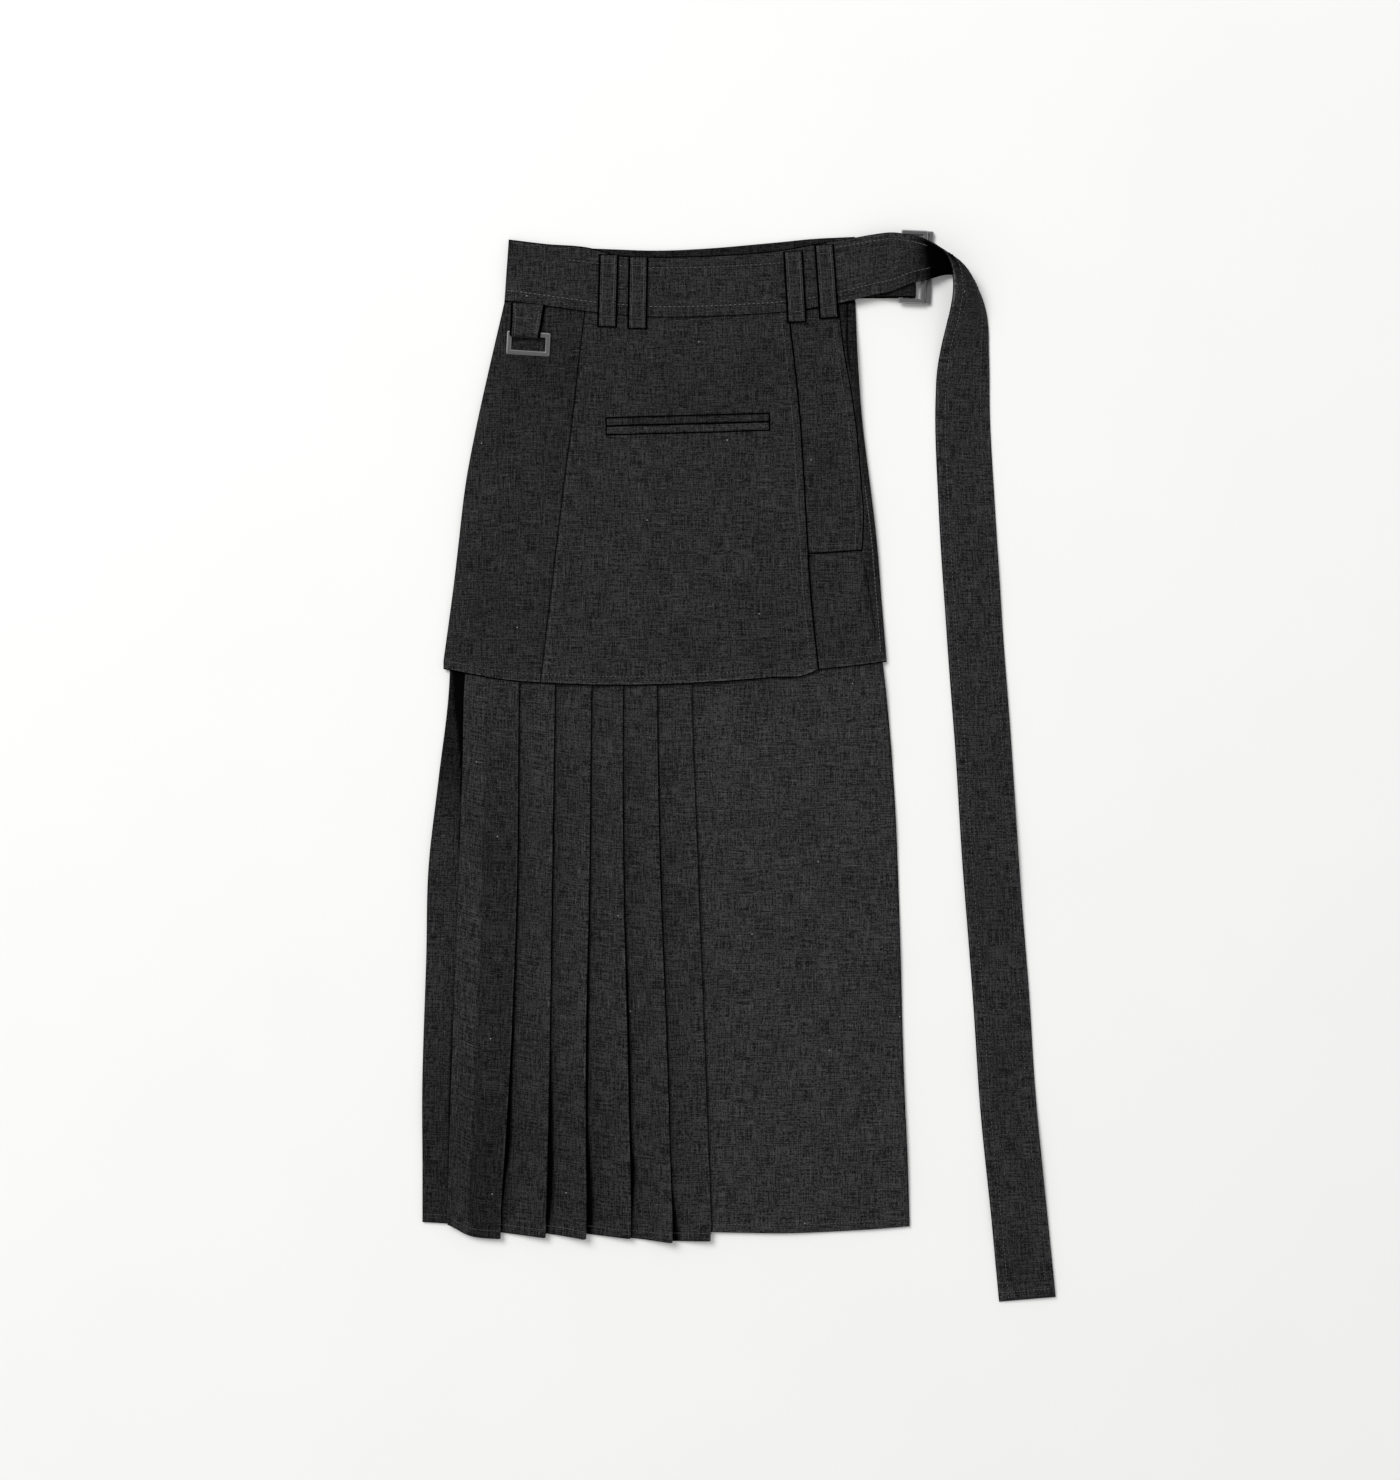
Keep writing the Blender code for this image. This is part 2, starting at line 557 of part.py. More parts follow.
def make_side_ring():
    """Tab folded round the ring's top bar, and the ring that swings in it."""
    axis_z = FLAP_TOP + GAP + TAB_LOOP_RADIUS + CLOTH / 2
    lower_z, upper_z = -TAB_LOOP_RADIUS, CLOTH + GAP - TAB_LOOP_RADIUS
    reach = math.hypot(TAB_PINCH, upper_z)
    stop = math.atan2(upper_z, TAB_PINCH) + math.acos(TAB_LOOP_RADIUS / reach)
    angles = np.linspace(-math.pi / 2, stop - 2 * math.pi, TAB_ARC_STEPS + 2)
    arc = TAB_LOOP_RADIUS * np.stack([np.cos(angles), np.sin(angles)], axis=1)
    path = np.vstack([[(TAB_LENGTH, lower_z)], arc, [(TAB_PINCH, upper_z), (TAB_LENGTH, upper_z)]])
    outline = strip_ring(path, CLOTH)
    part = np.clip(outline[:, 0] / TAB_LENGTH, 0, 1)
    middle = TAB_SHIFT + (TAB_TOP_SHIFT - TAB_SHIFT) * part
    half_width = (TAB_WIDTH + (TAB_TOP_WIDTH - TAB_WIDTH) * part) / 2
    rings = [np.stack([middle + side * half_width, outline[:, 0], outline[:, 1]], axis=1)
             for side in (-1, 1)]
    tab = loft("ring_tab", rings)
    tab.location = (RING_BAR_X * MM, RING_BAR_Y * MM, axis_z * MM)
    tab.rotation_euler = (0, 0, RING_TILT)

    mesh = frame_mesh("side_ring", RING, (0, -(RING["height"] - RING["bar"]) / 2))
    ring = new_object("side_ring", GUNMETAL, mesh, metallic=0.6, roughness=0.45)
    ring.location = tab.location
    ring.rotation_euler = (RING_DROOP, 0, RING_TILT)


def make_buckle():
    """Tab on from the back waistband, folded round the left bars of two rings."""
    half = CLOTH / 2
    top = INNER_RING_Z + BUCKLE["thick"] + GAP + half
    size = BUCKLE_TAB
    path = np.array([(size["left"], half), (size["right"] - half, half), (size["right"] - half, top),
                     (size["rise_to"], top), (size["rise_from"], half + CLOTH + GAP),
                     (size["left"], half + CLOTH + GAP)])
    outline = strip_ring(path, CLOTH)
    rings = [np.stack([outline[:, 0], np.full(len(outline), y), outline[:, 1]], axis=1)
             for y in (size["low_y"], size["high_y"])]
    loft("buckle_tab", rings)
    for name, x, z in (("buckle_ring_outer", OUTER_RING_X, OUTER_RING_Z),
                       ("buckle_ring_inner", INNER_RING_X, INNER_RING_Z)):
        ring = new_object(name, GUNMETAL, frame_mesh(name, BUCKLE, (0, 0)), metallic=0.6,
                          roughness=0.45)
        ring.location = (x * MM, BUCKLE_Y * MM, (z + BUCKLE["thick"] / 2) * MM)
        ring.rotation_euler = (0, 0, BUCKLE_TILT)


for stale in list(bpy.data.objects):
    bpy.data.objects.remove(stale, do_unlink=True)
COLLECTION = bpy.data.collections.new("pleated_skirt")
bpy.context.scene.collection.children.link(COLLECTION)

make_backs()
make_long_front()
make_overskirt_front()
make_welts()
make_waistband()
make_belt()
make_side_ring()
make_buckle()
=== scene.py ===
"""Pleated skirt with a short over-skirt, laid flat, front side up: its finish and fine form.

Lengths in this file are millimetres, turned to metres where a mesh is made. X runs to the right
of the garment as it lies, Y from the hem to the waist, Z up from the ground.
"""
import logging
import math
from dataclasses import dataclass, field
from enum import Enum
from typing import Callable, Optional, Sequence

import bpy
import numpy as np
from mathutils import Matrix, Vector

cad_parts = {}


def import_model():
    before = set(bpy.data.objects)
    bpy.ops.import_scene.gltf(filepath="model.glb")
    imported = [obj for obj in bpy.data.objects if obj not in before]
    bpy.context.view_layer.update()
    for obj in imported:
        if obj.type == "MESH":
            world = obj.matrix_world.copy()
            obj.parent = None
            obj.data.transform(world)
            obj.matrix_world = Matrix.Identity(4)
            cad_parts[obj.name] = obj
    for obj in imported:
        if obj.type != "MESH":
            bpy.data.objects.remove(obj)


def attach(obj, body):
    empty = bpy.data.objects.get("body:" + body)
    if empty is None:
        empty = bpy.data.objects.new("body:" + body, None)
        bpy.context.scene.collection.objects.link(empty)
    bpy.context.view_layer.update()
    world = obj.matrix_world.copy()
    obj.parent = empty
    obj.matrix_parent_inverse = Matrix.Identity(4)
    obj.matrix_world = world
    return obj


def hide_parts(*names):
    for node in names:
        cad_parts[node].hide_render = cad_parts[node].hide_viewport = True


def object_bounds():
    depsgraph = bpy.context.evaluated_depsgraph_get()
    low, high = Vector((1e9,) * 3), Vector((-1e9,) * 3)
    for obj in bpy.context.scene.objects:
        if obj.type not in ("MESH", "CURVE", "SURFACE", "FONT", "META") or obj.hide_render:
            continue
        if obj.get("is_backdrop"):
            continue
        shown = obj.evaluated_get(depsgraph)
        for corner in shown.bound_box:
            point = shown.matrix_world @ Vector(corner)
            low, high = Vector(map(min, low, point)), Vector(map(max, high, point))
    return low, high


LOG = logging.getLogger("skirt")
MM = 0.001
GAP = 0.3
CLOTH = 1.0
Array = np.ndarray
Height = Callable[[Array, Array], Array]
Socket = bpy.types.NodeSocket


class Slot(Enum):
    """Names of the material slots."""

    CLOTH = "cloth"
    METAL = "metal"


class Body(Enum):
    """The bodies that pieces ride on."""

    SKIRT = "skirt"
    RING = "ring"


@dataclass(frozen=True)
class Curve:
    """A smooth line through a few measured places, clamped at both ends."""

    at: tuple
    value: tuple

    def __call__(self, where: Array) -> Array:
        """Read the line: cubic pieces between the places, slopes from their neighbours.

        Args:
            where: places to read, of any shape.
        Returns:
            The values there, of the same shape.
        """
        order = np.argsort(self.at)
        knots = np.asarray(self.at, dtype=float)[order]
        values = np.asarray(self.value, dtype=float)[order]
        slopes = np.gradient(values, knots)
        q = np.clip(where, knots[0], knots[-1])
        cell = np.clip(np.searchsorted(knots, q, side="right") - 1, 0, len(knots) - 2)
        span = knots[cell + 1] - knots[cell]
        t = (q - knots[cell]) / span
        return ((1 + 2 * t) * (1 - t) ** 2 * values[cell] + t * (1 - t) ** 2 * span * slopes[cell]
                + t * t * (3 - 2 * t) * values[cell + 1]
                - t * t * (1 - t) * span * slopes[cell + 1])


def ease(value: Array) -> Array:
    """Smooth step: 0 below 0, 1 above 1, three squares less two cubes between."""
    t = np.clip(value, 0.0, 1.0)
    return t * t * (3.0 - 2.0 * t)


def bell(distance: Array, width: float) -> Array:
    """A soft ridge: e to the minus square of distance over width."""
    return np.exp(-(distance / width) ** 2)


SIDE_Y = (418, 365, 311, 257, 203, 149, 94)
LONG_Y = (*SIDE_Y, 68, -13, -94, -175, -283, -364, -413)
BAND_X = (-212, -175, -135, -110, -80, -27, 14, 41, 60, 105)
FOLD_Y = (410, 68, -94, -256, -400)


def between(ends: Sequence[float], part: Array) -> Array:
    """The value a part of the way from the first end to the second."""
    return ends[0] + (ends[1] - ends[0]) * part


@dataclass(frozen=True)
class Layout:
    """Outlines, seams and heights of the laid garment, as the frame's solids hold them."""

    over_left: Curve = Curve(SIDE_Y, (-211, -223, -235, -245.5, -252, -258.5, -266))
    over_right: Curve = Curve(SIDE_Y, (104, 106, 110, 116.5, 123, 127.5, 132))
    long_left: Curve = Curve(LONG_Y, (-206, -218, -230, -240.5, -247, -253.5, -259.5, -261, -270.5,
                                      -279.5, -281.5, -285, -285, -285))
    long_right: Curve = Curve(LONG_Y, (99.5, 101.5, 105.5, 112, 118.5, 123, 128, 131, 138, 142,
                                       144.5, 147.5, 151, 152.5))
    band_low: Curve = Curve(BAND_X, (418.5, 413.5, 408, 405.5, 403.5, 404, 406, 408, 410.5, 418.5))
    band_front: Curve = Curve(BAND_X, (472, 468, 464.5, 458, 456.5, 457.5, 460, 463, 466.5, 474))
    band_back: Curve = Curve(BAND_X, (472, 468, 465.5, 464.5, 463.5, 465.5, 469, 471.5, 473.5,
                                      476))
    short_hem: Curve = Curve((-266, -257, -240, -223, -198, -171, -81, -9, 28, 63, 70),
                             (87.6, 85.7, 82.4, 79.1, 76.1, 74.3, 73, 76.5, 79.5, 83, 86.5))
    right_hem: Curve = Curve((40, 71, 98, 132), (85, 87, 89.5, 94))
    long_back_hem: Curve = Curve((-285, -200, -110, -30, 153), (-407, -415, -417, -414, -408))
    plain_hem: Curve = Curve((-30, 45, 125, 153), (-420, -421, -417.2, -415))
    left_seam: Curve = Curve((407, 365, 311, 257, 203, 149, 77),
                             (-139, -144, -150, -157, -163.6, -170, -178.4))
    flap_edge: Curve = Curve((404, 365, 311, 257, 203, 149, 87),
                             (43.5, 48, 53.5, 57, 60, 63.5, 70))
    patch_edge: Curve = Curve((417, 372, 336, 313, 280, 254, 229, 193),
                              (88, 93, 99.5, 103, 106.5, 108.5, 110.5, 109.5))
    patch_bottom: Curve = Curve((48, 61, 110), (190.5, 191, 194))
    box_fold: Curve = Curve((410, 84, -8, -94, -256, -400),
                            (-203, -246.4, -249, -252.2, -258, -262.5))
    knife_folds: tuple = tuple(Curve(FOLD_Y, x) for x in (
        (-174, -198.5, -200.5, -206.5, -215.5), (-146, -166, -169, -171.5, -175),
        (-118, -133.5, -135.5, -139, -139), (-91, -105, -105, -101.5, -98.5),
        (-63, -74.5, -72, -66, -61.5), (-36, -43.5, -38, -32, -26.5)))
    back_z: float = 0.0
    long_back_z: float = 1.3
    low_z: float = 2.6
    mid_z: float = 3.9
    top_z: float = 5.2
    flap_z: float = 6.5
    settle_from: float = 70.0
    settle_to: float = 40.0

    def settle(self, y: Array) -> Array:
        """How far the long skirt has come down at y, past the over-skirt's back hem."""
        return self.long_back_z * np.clip((self.settle_from - y)
                                          / (self.settle_from - self.settle_to), 0, 1)

    def waist(self, x: Array) -> Array:
        """Y where the panels meet the waistband."""
        return self.band_low(x) - GAP


LAY = Layout()


def linear(code: str) -> tuple:
    """Turn an sRGB hex colour to linear red, green, blue and alpha.

    Args:
        code: six hex digits with a leading hash.
    Returns:
        Four floats, the alpha 1.
    """
    parts = [int(code[k:k + 2], 16) / 255 for k in (1, 3, 5)]
    return (*(p / 12.92 if p <= 0.04045 else ((p + 0.055) / 1.055) ** 2.4 for p in parts), 1.0)


def fill(tree: bpy.types.NodeTree, node: bpy.types.Node, inputs: dict) -> None:
    """Link each input, by name or number, that is given a socket, and set the others.

    Args:
        tree: the material's node tree.
        node: the node whose inputs are meant.
        inputs: sockets, numbers, vectors or colours.
    """
    for key, value in inputs.items():
        if isinstance(value, Socket):
            tree.links.new(value, node.inputs[key])
        else:
            node.inputs[key].default_value = value


def add_node(tree: bpy.types.NodeTree, kind: str, inputs: dict, output: object = 0,
             **settings: object) -> Socket:
    """Add a shader node with its settings, input values and links.

    Args:
        tree: the material's node tree.
        kind: the node's type name, without its prefix.
        inputs: what each input reads, as fill takes it.
        output: the output that is wanted, by name or number.
        settings: attributes of the node.
    Returns:
        That output.
    """
    node = tree.nodes.new("ShaderNode" + kind)
    for key, value in settings.items():
        setattr(node, key, value)
    fill(tree, node, inputs)
    return node.outputs[output]


def new_material(name: str) -> tuple:
    """Make a material that reads the piece's painted light and wear attribute: painted shade below
    0, painted highlight and wear above 0.

    Args:
        name: the material's name.
    Returns:
        The material, its node tree, its shader and that attribute's socket.
    """
    material = bpy.data.materials.new(name)
    material.use_nodes = True
    tree = material.node_tree
    painted_light_and_wear = add_node(tree, "Attribute", {}, "Fac", attribute_name="painted_light_and_wear")
    return material, tree, tree.nodes["Principled BSDF"], painted_light_and_wear


@dataclass(frozen=True)
class SlubLinen:
    """Black slub-yarn linen, plain weave, piece-dyed and pressed.

    Uneven yarn gives the eye fine light lines both ways on a near-black ground, matt, with the
    odd fleck of lint. Pairs of sizes are width and length in mm. The threads are really 0.5 mm
    apart; they are drawn as wide as thread says, and their short fibres as fibre says, the finest
    that shows at this distance.
    """

    name: str = "black_slub_linen"
    ground: str = "#0a0a0b"
    yarn: str = "#353536"
    slub_tone: str = "#484849"
    lint_tone: str = "#9a9a97"
    # Near-black painted shade for the insides of folds, crevices and black rims; the gain below
    # brightens painted highlights and wear.
    painted_shade: str = "#030303"
    highlight_and_wear_gain: float = 2.6
    thread: tuple = (0.9, 19.0)
    fibre: tuple = (0.75, 2.6)
    slub: tuple = (0.9, 13.0)
    thread_range: tuple = (1.755, 2.285)
    slub_range: tuple = (0.70, 0.84)
    shade_mm: float = 42.0
    shade_range: tuple = (0.72, 1.28)
    drift_scale: float = 48.0
    drift_by: float = 0.0014
    lint_apart_mm: float = 118.0
    lint_mm: float = 0.45
    bump_mm: float = 0.1

    @staticmethod
    def streaks(tree: bpy.types.NodeTree, grain: Socket, across: int, size: tuple,
                shift: float) -> Socket:
        """Add a noise drawn out along one grain direction.

        Args:
            tree: the material's node tree.
            grain: cloth coordinates in metres.
            across: 0 where the streaks run up the cloth, 1 where they run across it.
            size: width and length of a streak in mm.
            shift: offset that sets this noise apart from the others.
        Returns:
            The noise's value.
        """
        stretch = [1.0 / (size[1] * MM), 1.0 / (size[1] * MM), 0.0]
        stretch[across] = 1.0 / (size[0] * MM)
        placed = add_node(tree, "VectorMath", {0: grain, 1: stretch, 2: (shift, 0.37 * shift, 0.0)},
                          operation="MULTIPLY_ADD")
        return add_node(tree, "TexNoise", {"Vector": placed, "Scale": 1.0, "Detail": 1.0}, "Fac",
                        noise_dimensions="2D")

    def make(self) -> bpy.types.Material:
        """Build the material on the piece's own UV map, whose unit is a metre of cloth.

        Threads both ways and a slow shade variation give one share that picks between ground and
        yarn. Slubs are lighter. Where the attribute is above 0 the cloth is brighter by it times
        the gain: painted highlight and wear. Where it is below 0 the cloth turns nearly black and
        loses its shine: painted shade in the insides of folds, in crevices and on black rims.
        Returns:
            The finished material.
        """
        material, tree, shader, painted_light_and_wear = new_material(self.name)
        grain = add_node(tree, "UVMap", {}, uv_map="cloth")
        drift = add_node(tree, "TexNoise", {"Vector": grain, "Scale": self.drift_scale,
                                            "Detail": 1.0}, "Color", noise_dimensions="2D")
        offset = add_node(tree, "VectorMath", {0: drift, 1: (0.5, 0.5, 0.5)}, operation="SUBTRACT")
        bent = add_node(tree, "VectorMath", {0: offset, 1: (self.drift_by, self.drift_by, 0.0),
                                             2: grain}, operation="MULTIPLY_ADD")
        pairs = []
        for size, shifts, joined in ((self.thread, (0.0, 5.3), "ADD"),
                                     (self.fibre, (21.9, 33.1), "ADD"),
                                     (self.slub, (9.1, 14.7), "MAXIMUM")):
            both = [self.streaks(tree, bent, across, size, shift)
                    for across, shift in enumerate(shifts)]
            pairs.append(add_node(tree, "Math", dict(enumerate(both)), operation=joined))
        threads = add_node(tree, "Math", {0: pairs[0], 1: pairs[1]}, operation="ADD")
        slow = add_node(tree, "TexNoise", {"Vector": grain, "Scale": 1.0 / (self.shade_mm * MM),
                                           "Detail": 2.0}, "Fac", noise_dimensions="2D")
        share, thick, uneven = (
            add_node(tree, "MapRange", {"Value": value, end + " Min": low, end + " Max": high})
            for value, end, (low, high) in ((threads, "From", self.thread_range),
                                            (pairs[2], "From", self.slub_range),
                                            (slow, "To", self.shade_range)))
        share = add_node(tree, "Math", {0: share, 1: uneven}, operation="MULTIPLY", use_clamp=True)
        # Painted shade where the attribute is below 0, painted highlight and wear where it is above
        # 0.
        dark = add_node(tree, "Math", {0: painted_light_and_wear, 1: -1.0}, operation="MULTIPLY", use_clamp=True)
        lit_and_worn = add_node(tree, "Math", {0: painted_light_and_wear, 1: 0.0}, operation="MAXIMUM")
        gain = add_node(tree, "Math", {0: lit_and_worn, 1: self.highlight_and_wear_gain, 2: 1.0},
                        operation="MULTIPLY_ADD")
        fleck = add_node(tree, "TexVoronoi", {"Vector": grain,
                                              "Scale": 1.0 / (self.lint_apart_mm * MM)},
                         "Distance", voronoi_dimensions="2D")
        radius = self.lint_mm / self.lint_apart_mm
        speck = add_node(tree, "MapRange", {"Value": fleck, "From Min": radius * 1.3,
                                            "From Max": radius * 0.7})
        colour = linear(self.ground)
        for tone, factor in ((self.yarn, share), (self.slub_tone, thick), (None, gain),
                             (self.painted_shade, dark), (self.lint_tone, speck)):
            if tone is None:
                colour = add_node(tree, "VectorMath", {0: colour, "Scale": factor},
                                  operation="SCALE")
            else:
                colour = add_node(tree, "Mix", {"Factor": factor, "A": colour, "B": linear(tone)},
                                  "Result", data_type="RGBA")
        bump = add_node(tree, "Bump", {"Height": threads, "Strength": 0.7,
                                       "Distance": self.bump_mm * MM})
        # Shine and sheen fade out under painted shade.
        shine, sheen = (add_node(tree, "MapRange", {"Value": painted_light_and_wear, "From Min": -1.0,
                                                    "From Max": 0.0, "To Max": most})
                        for most in (0.1, 0.02))
        fill(tree, shader, {"Base Color": colour, "Normal": bump, "Specular IOR Level": shine,
                            "Sheen Weight": sheen, "Roughness": 0.9, "Sheen Roughness": 0.5})
        return material


@dataclass(frozen=True)
class SewingThread:
    """Black spun polyester sewing thread, a shade lighter and smoother than the cloth."""

    name: str = "black_polyester_thread"
    dark: str = "#444447"
    light: str = "#808084"
    # Near-black painted shadow of the pucker at each needle's hole.
    pucker_shadow: str = "#040404"
    ply_mm: float = 2.8

    def make(self) -> bpy.types.Material:
        """Build the material: two tones at the thread's ply, and painted pucker shadow where the
        attribute is below 0.
        """
        material, tree, shader, painted_light_and_wear = new_material(self.name)
        place = add_node(tree, "TexCoord", {}, "Object")
        ply = add_node(tree, "TexNoise", {"Vector": place, "Scale": 1.0 / (self.ply_mm * MM)},
                       "Fac")
        shadow_spot = add_node(tree, "Math", {0: painted_light_and_wear, 1: -1.0}, operation="MULTIPLY", use_clamp=True)
        colour = linear(self.dark)
        for tone, share in ((self.light, ply), (self.pucker_shadow, shadow_spot)):
            colour = add_node(tree, "Mix", {"Factor": share, "A": colour, "B": linear(tone)},
                              "Result", data_type="RGBA")
        fill(tree, shader, {"Base Color": colour, "Roughness": 0.6, "Specular IOR Level": 0.3})
        return material


@dataclass(frozen=True)
class CoatedZinc:
    """Die-cast zinc alloy under a dark grey satin coat, with a painted highlight on its chamfers.
    """

    name: str = "dark_coated_zinc"
    coat: str = "#39393a"
    # Light tone painted on the chamfers as a highlight.
    chamfer_highlight: str = "#98989a"
    grain_mm: float = 0.5
    rough: tuple = (0.38, 0.55)
    bump_mm: float = 0.05

    def make(self) -> bpy.types.Material:
        """Build the material: the painted highlight tone where the attribute is high, fine cast
        grain.
        """
        material, tree, shader, painted_light_and_wear = new_material(self.name)
        place = add_node(tree, "TexCoord", {}, "Object")
        grain = add_node(tree, "TexNoise", {"Vector": place, "Scale": 1.0 / (self.grain_mm * MM),
                                            "Detail": 3.0}, "Fac")
        share = add_node(tree, "Math", {0: grain, 1: 0.3, 2: painted_light_and_wear}, operation="MULTIPLY_ADD",
                         use_clamp=True)
        colour = add_node(tree, "Mix", {"Factor": share, "A": linear(self.coat),
                                        "B": linear(self.chamfer_highlight)}, "Result", data_type="RGBA")
        rough = add_node(tree, "MapRange", {"Value": grain, "To Min": self.rough[0],
                                            "To Max": self.rough[1]})
        bump = add_node(tree, "Bump", {"Height": grain, "Strength": 0.25,
                                       "Distance": self.bump_mm * MM})
        fill(tree, shader, {"Base Color": colour, "Roughness": rough, "Normal": bump,
                            "Metallic": 0.7})
        return material


@dataclass(frozen=True)
class PalePlaster:
    """Smooth pale floor: painted screed, nearly white and matt, with the faintest clouding."""

    name: str = "pale_floor"
    dull: str = "#f1f1f0"
    light: str = "#f4f4f3"
    cloud_scale: float = 6.0

    def make(self) -> bpy.types.Material:
        """Build the material: a slow noise picks between its two tones."""
        material, tree, shader, _ = new_material(self.name)
        place = add_node(tree, "TexCoord", {}, "Object")
        cloud = add_node(tree, "TexNoise", {"Vector": place, "Scale": self.cloud_scale}, "Fac")
        colour = add_node(tree, "Mix", {"Factor": cloud, "A": linear(self.dull),
                                        "B": linear(self.light)}, "Result", data_type="RGBA")
        fill(tree, shader, {"Base Color": colour, "Roughness": 0.85})
        return material


class Grain(Enum):
    """How a piece's threads run: straight up the garment, or along the piece itself."""

    STRAIGHT = "straight"
    ALONG = "along"


def spaced(length: float, step: float, fine: float = 0.0, over: float = 16.0) -> Array:
    """Parts of a length from 0 to 1, step apart, and fine apart over the last stretch.

    Args:
        length: the whole length in mm.
        step: spacing in mm.
        fine: spacing near the end, or 0 for the same spacing.
        over: length of that last stretch.
    Returns:
        Rising parts, the first 0 and the last 1.
    """
    if not fine:
        return np.linspace(0, 1, int(round(length / step)) + 1)
    coarse = np.linspace(0, length - over, int(round((length - over) / step)) + 1)
    close = np.linspace(length - over, length, int(round(over / fine)) + 1)[1:]
    return np.concatenate([coarse, close]) / length


def fine_ends(length: float, step: float, near: Sequence[float] = (0.45, 1.0, 1.9)) -> Array:
    """Parts of a length from 0 to 1, step apart, with places close to both ends.

    Args:
        length: the whole length in mm.
        step: spacing in mm.
        near: distances of the added places from each end.
    Returns:
        Rising parts, the first 0 and the last 1.
    """
    close = np.array(near)
    inner = np.linspace(close[-1], length - close[-1],
                        int(round((length - 2 * close[-1]) / step)) + 1)[1:-1]
    return np.concatenate([[0], close, inner, (length - close)[::-1], [length]]) / length


def along_rows(points: Array) -> Array:
    """Distance travelled from the first row, down each column of a grid or along one path."""
    step = np.linalg.norm(np.diff(points, axis=0), axis=-1)
    return np.concatenate([np.zeros_like(step[:1]), np.cumsum(step, axis=0)])


def read_path(line: Array, where: Array) -> Array:
    """Points of a path of points at distances along it."""
    length = along_rows(line)
    return np.stack([np.interp(where, length, places) for places in line.T], axis=-1)


def build_mesh(name: str, points: Array, quads: Array, uv: Optional[Array] = None,
               painted_light_and_wear: Optional[Array] = None) -> bpy.types.Mesh:
    """Make a smooth-shaded mesh from arrays.

    Args:
        name: the mesh's name.
        points: vertices in mm, one a row.
        quads: four vertex numbers a row.
        uv: cloth coordinates in mm, one pair a vertex.
        painted_light_and_wear: painted shade (below 0), painted highlight and wear (above 0) at
            each vertex.
    Returns:
        The mesh, in metres.
    """
    mesh = bpy.data.meshes.new(name)
    mesh.from_pydata((np.asarray(points, dtype=float) * MM).tolist(), [],
                     np.asarray(quads).tolist())
    mesh.polygons.foreach_set("use_smooth", np.ones(len(mesh.polygons), dtype=bool))
    if uv is not None:
        layer = mesh.uv_layers.new(name="cloth")
        layer.data.foreach_set("uv", (uv * MM)[np.asarray(quads).ravel()].ravel())
    shade = mesh.attributes.new("painted_light_and_wear", "FLOAT", "POINT")
    shade.data.foreach_set("value", np.zeros(len(points)) if painted_light_and_wear is None else painted_light_and_wear)
    mesh.update()
    return mesh


def put(name: str, data: bpy.types.ID) -> bpy.types.Object:
    """Make an object of a mesh, a light or a camera, and link it into the scene."""
    made = bpy.data.objects.new(name, data)
    bpy.context.scene.collection.objects.link(made)
    return made


def place_piece(mesh: bpy.types.Mesh, material: bpy.types.Material, body: Body,
                replaces: Sequence[str] = ()) -> bpy.types.Object:
    """Put a finished mesh in the scene, riding on a body and standing for its solids.

    Args:
        mesh: the mesh, in metres in the shared frame.
        material: its finish.
        body: the body that it rides on.
        replaces: nodes that it stands for.
    Returns:
        The new object.
    """
    mesh.materials.append(material)
    made = put(mesh.name, mesh)
    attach(made, body.value)
    if replaces:
        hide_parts(*replaces)
    LOG.info("%s: %d triangles, on %s", mesh.name,
             sum(len(face.vertices) - 2 for face in mesh.polygons), body.value)
    return made


def grid_quads(rows: int, columns: int) -> Array:
    """Faces of an open grid whose rows run down and columns run right, seen from above."""
    number = np.arange(rows * columns).reshape(rows, columns)
    return np.stack([number[1:, :-1], number[1:, 1:], number[:-1, 1:], number[:-1, :-1]],
                    axis=-1).reshape(-1, 4)


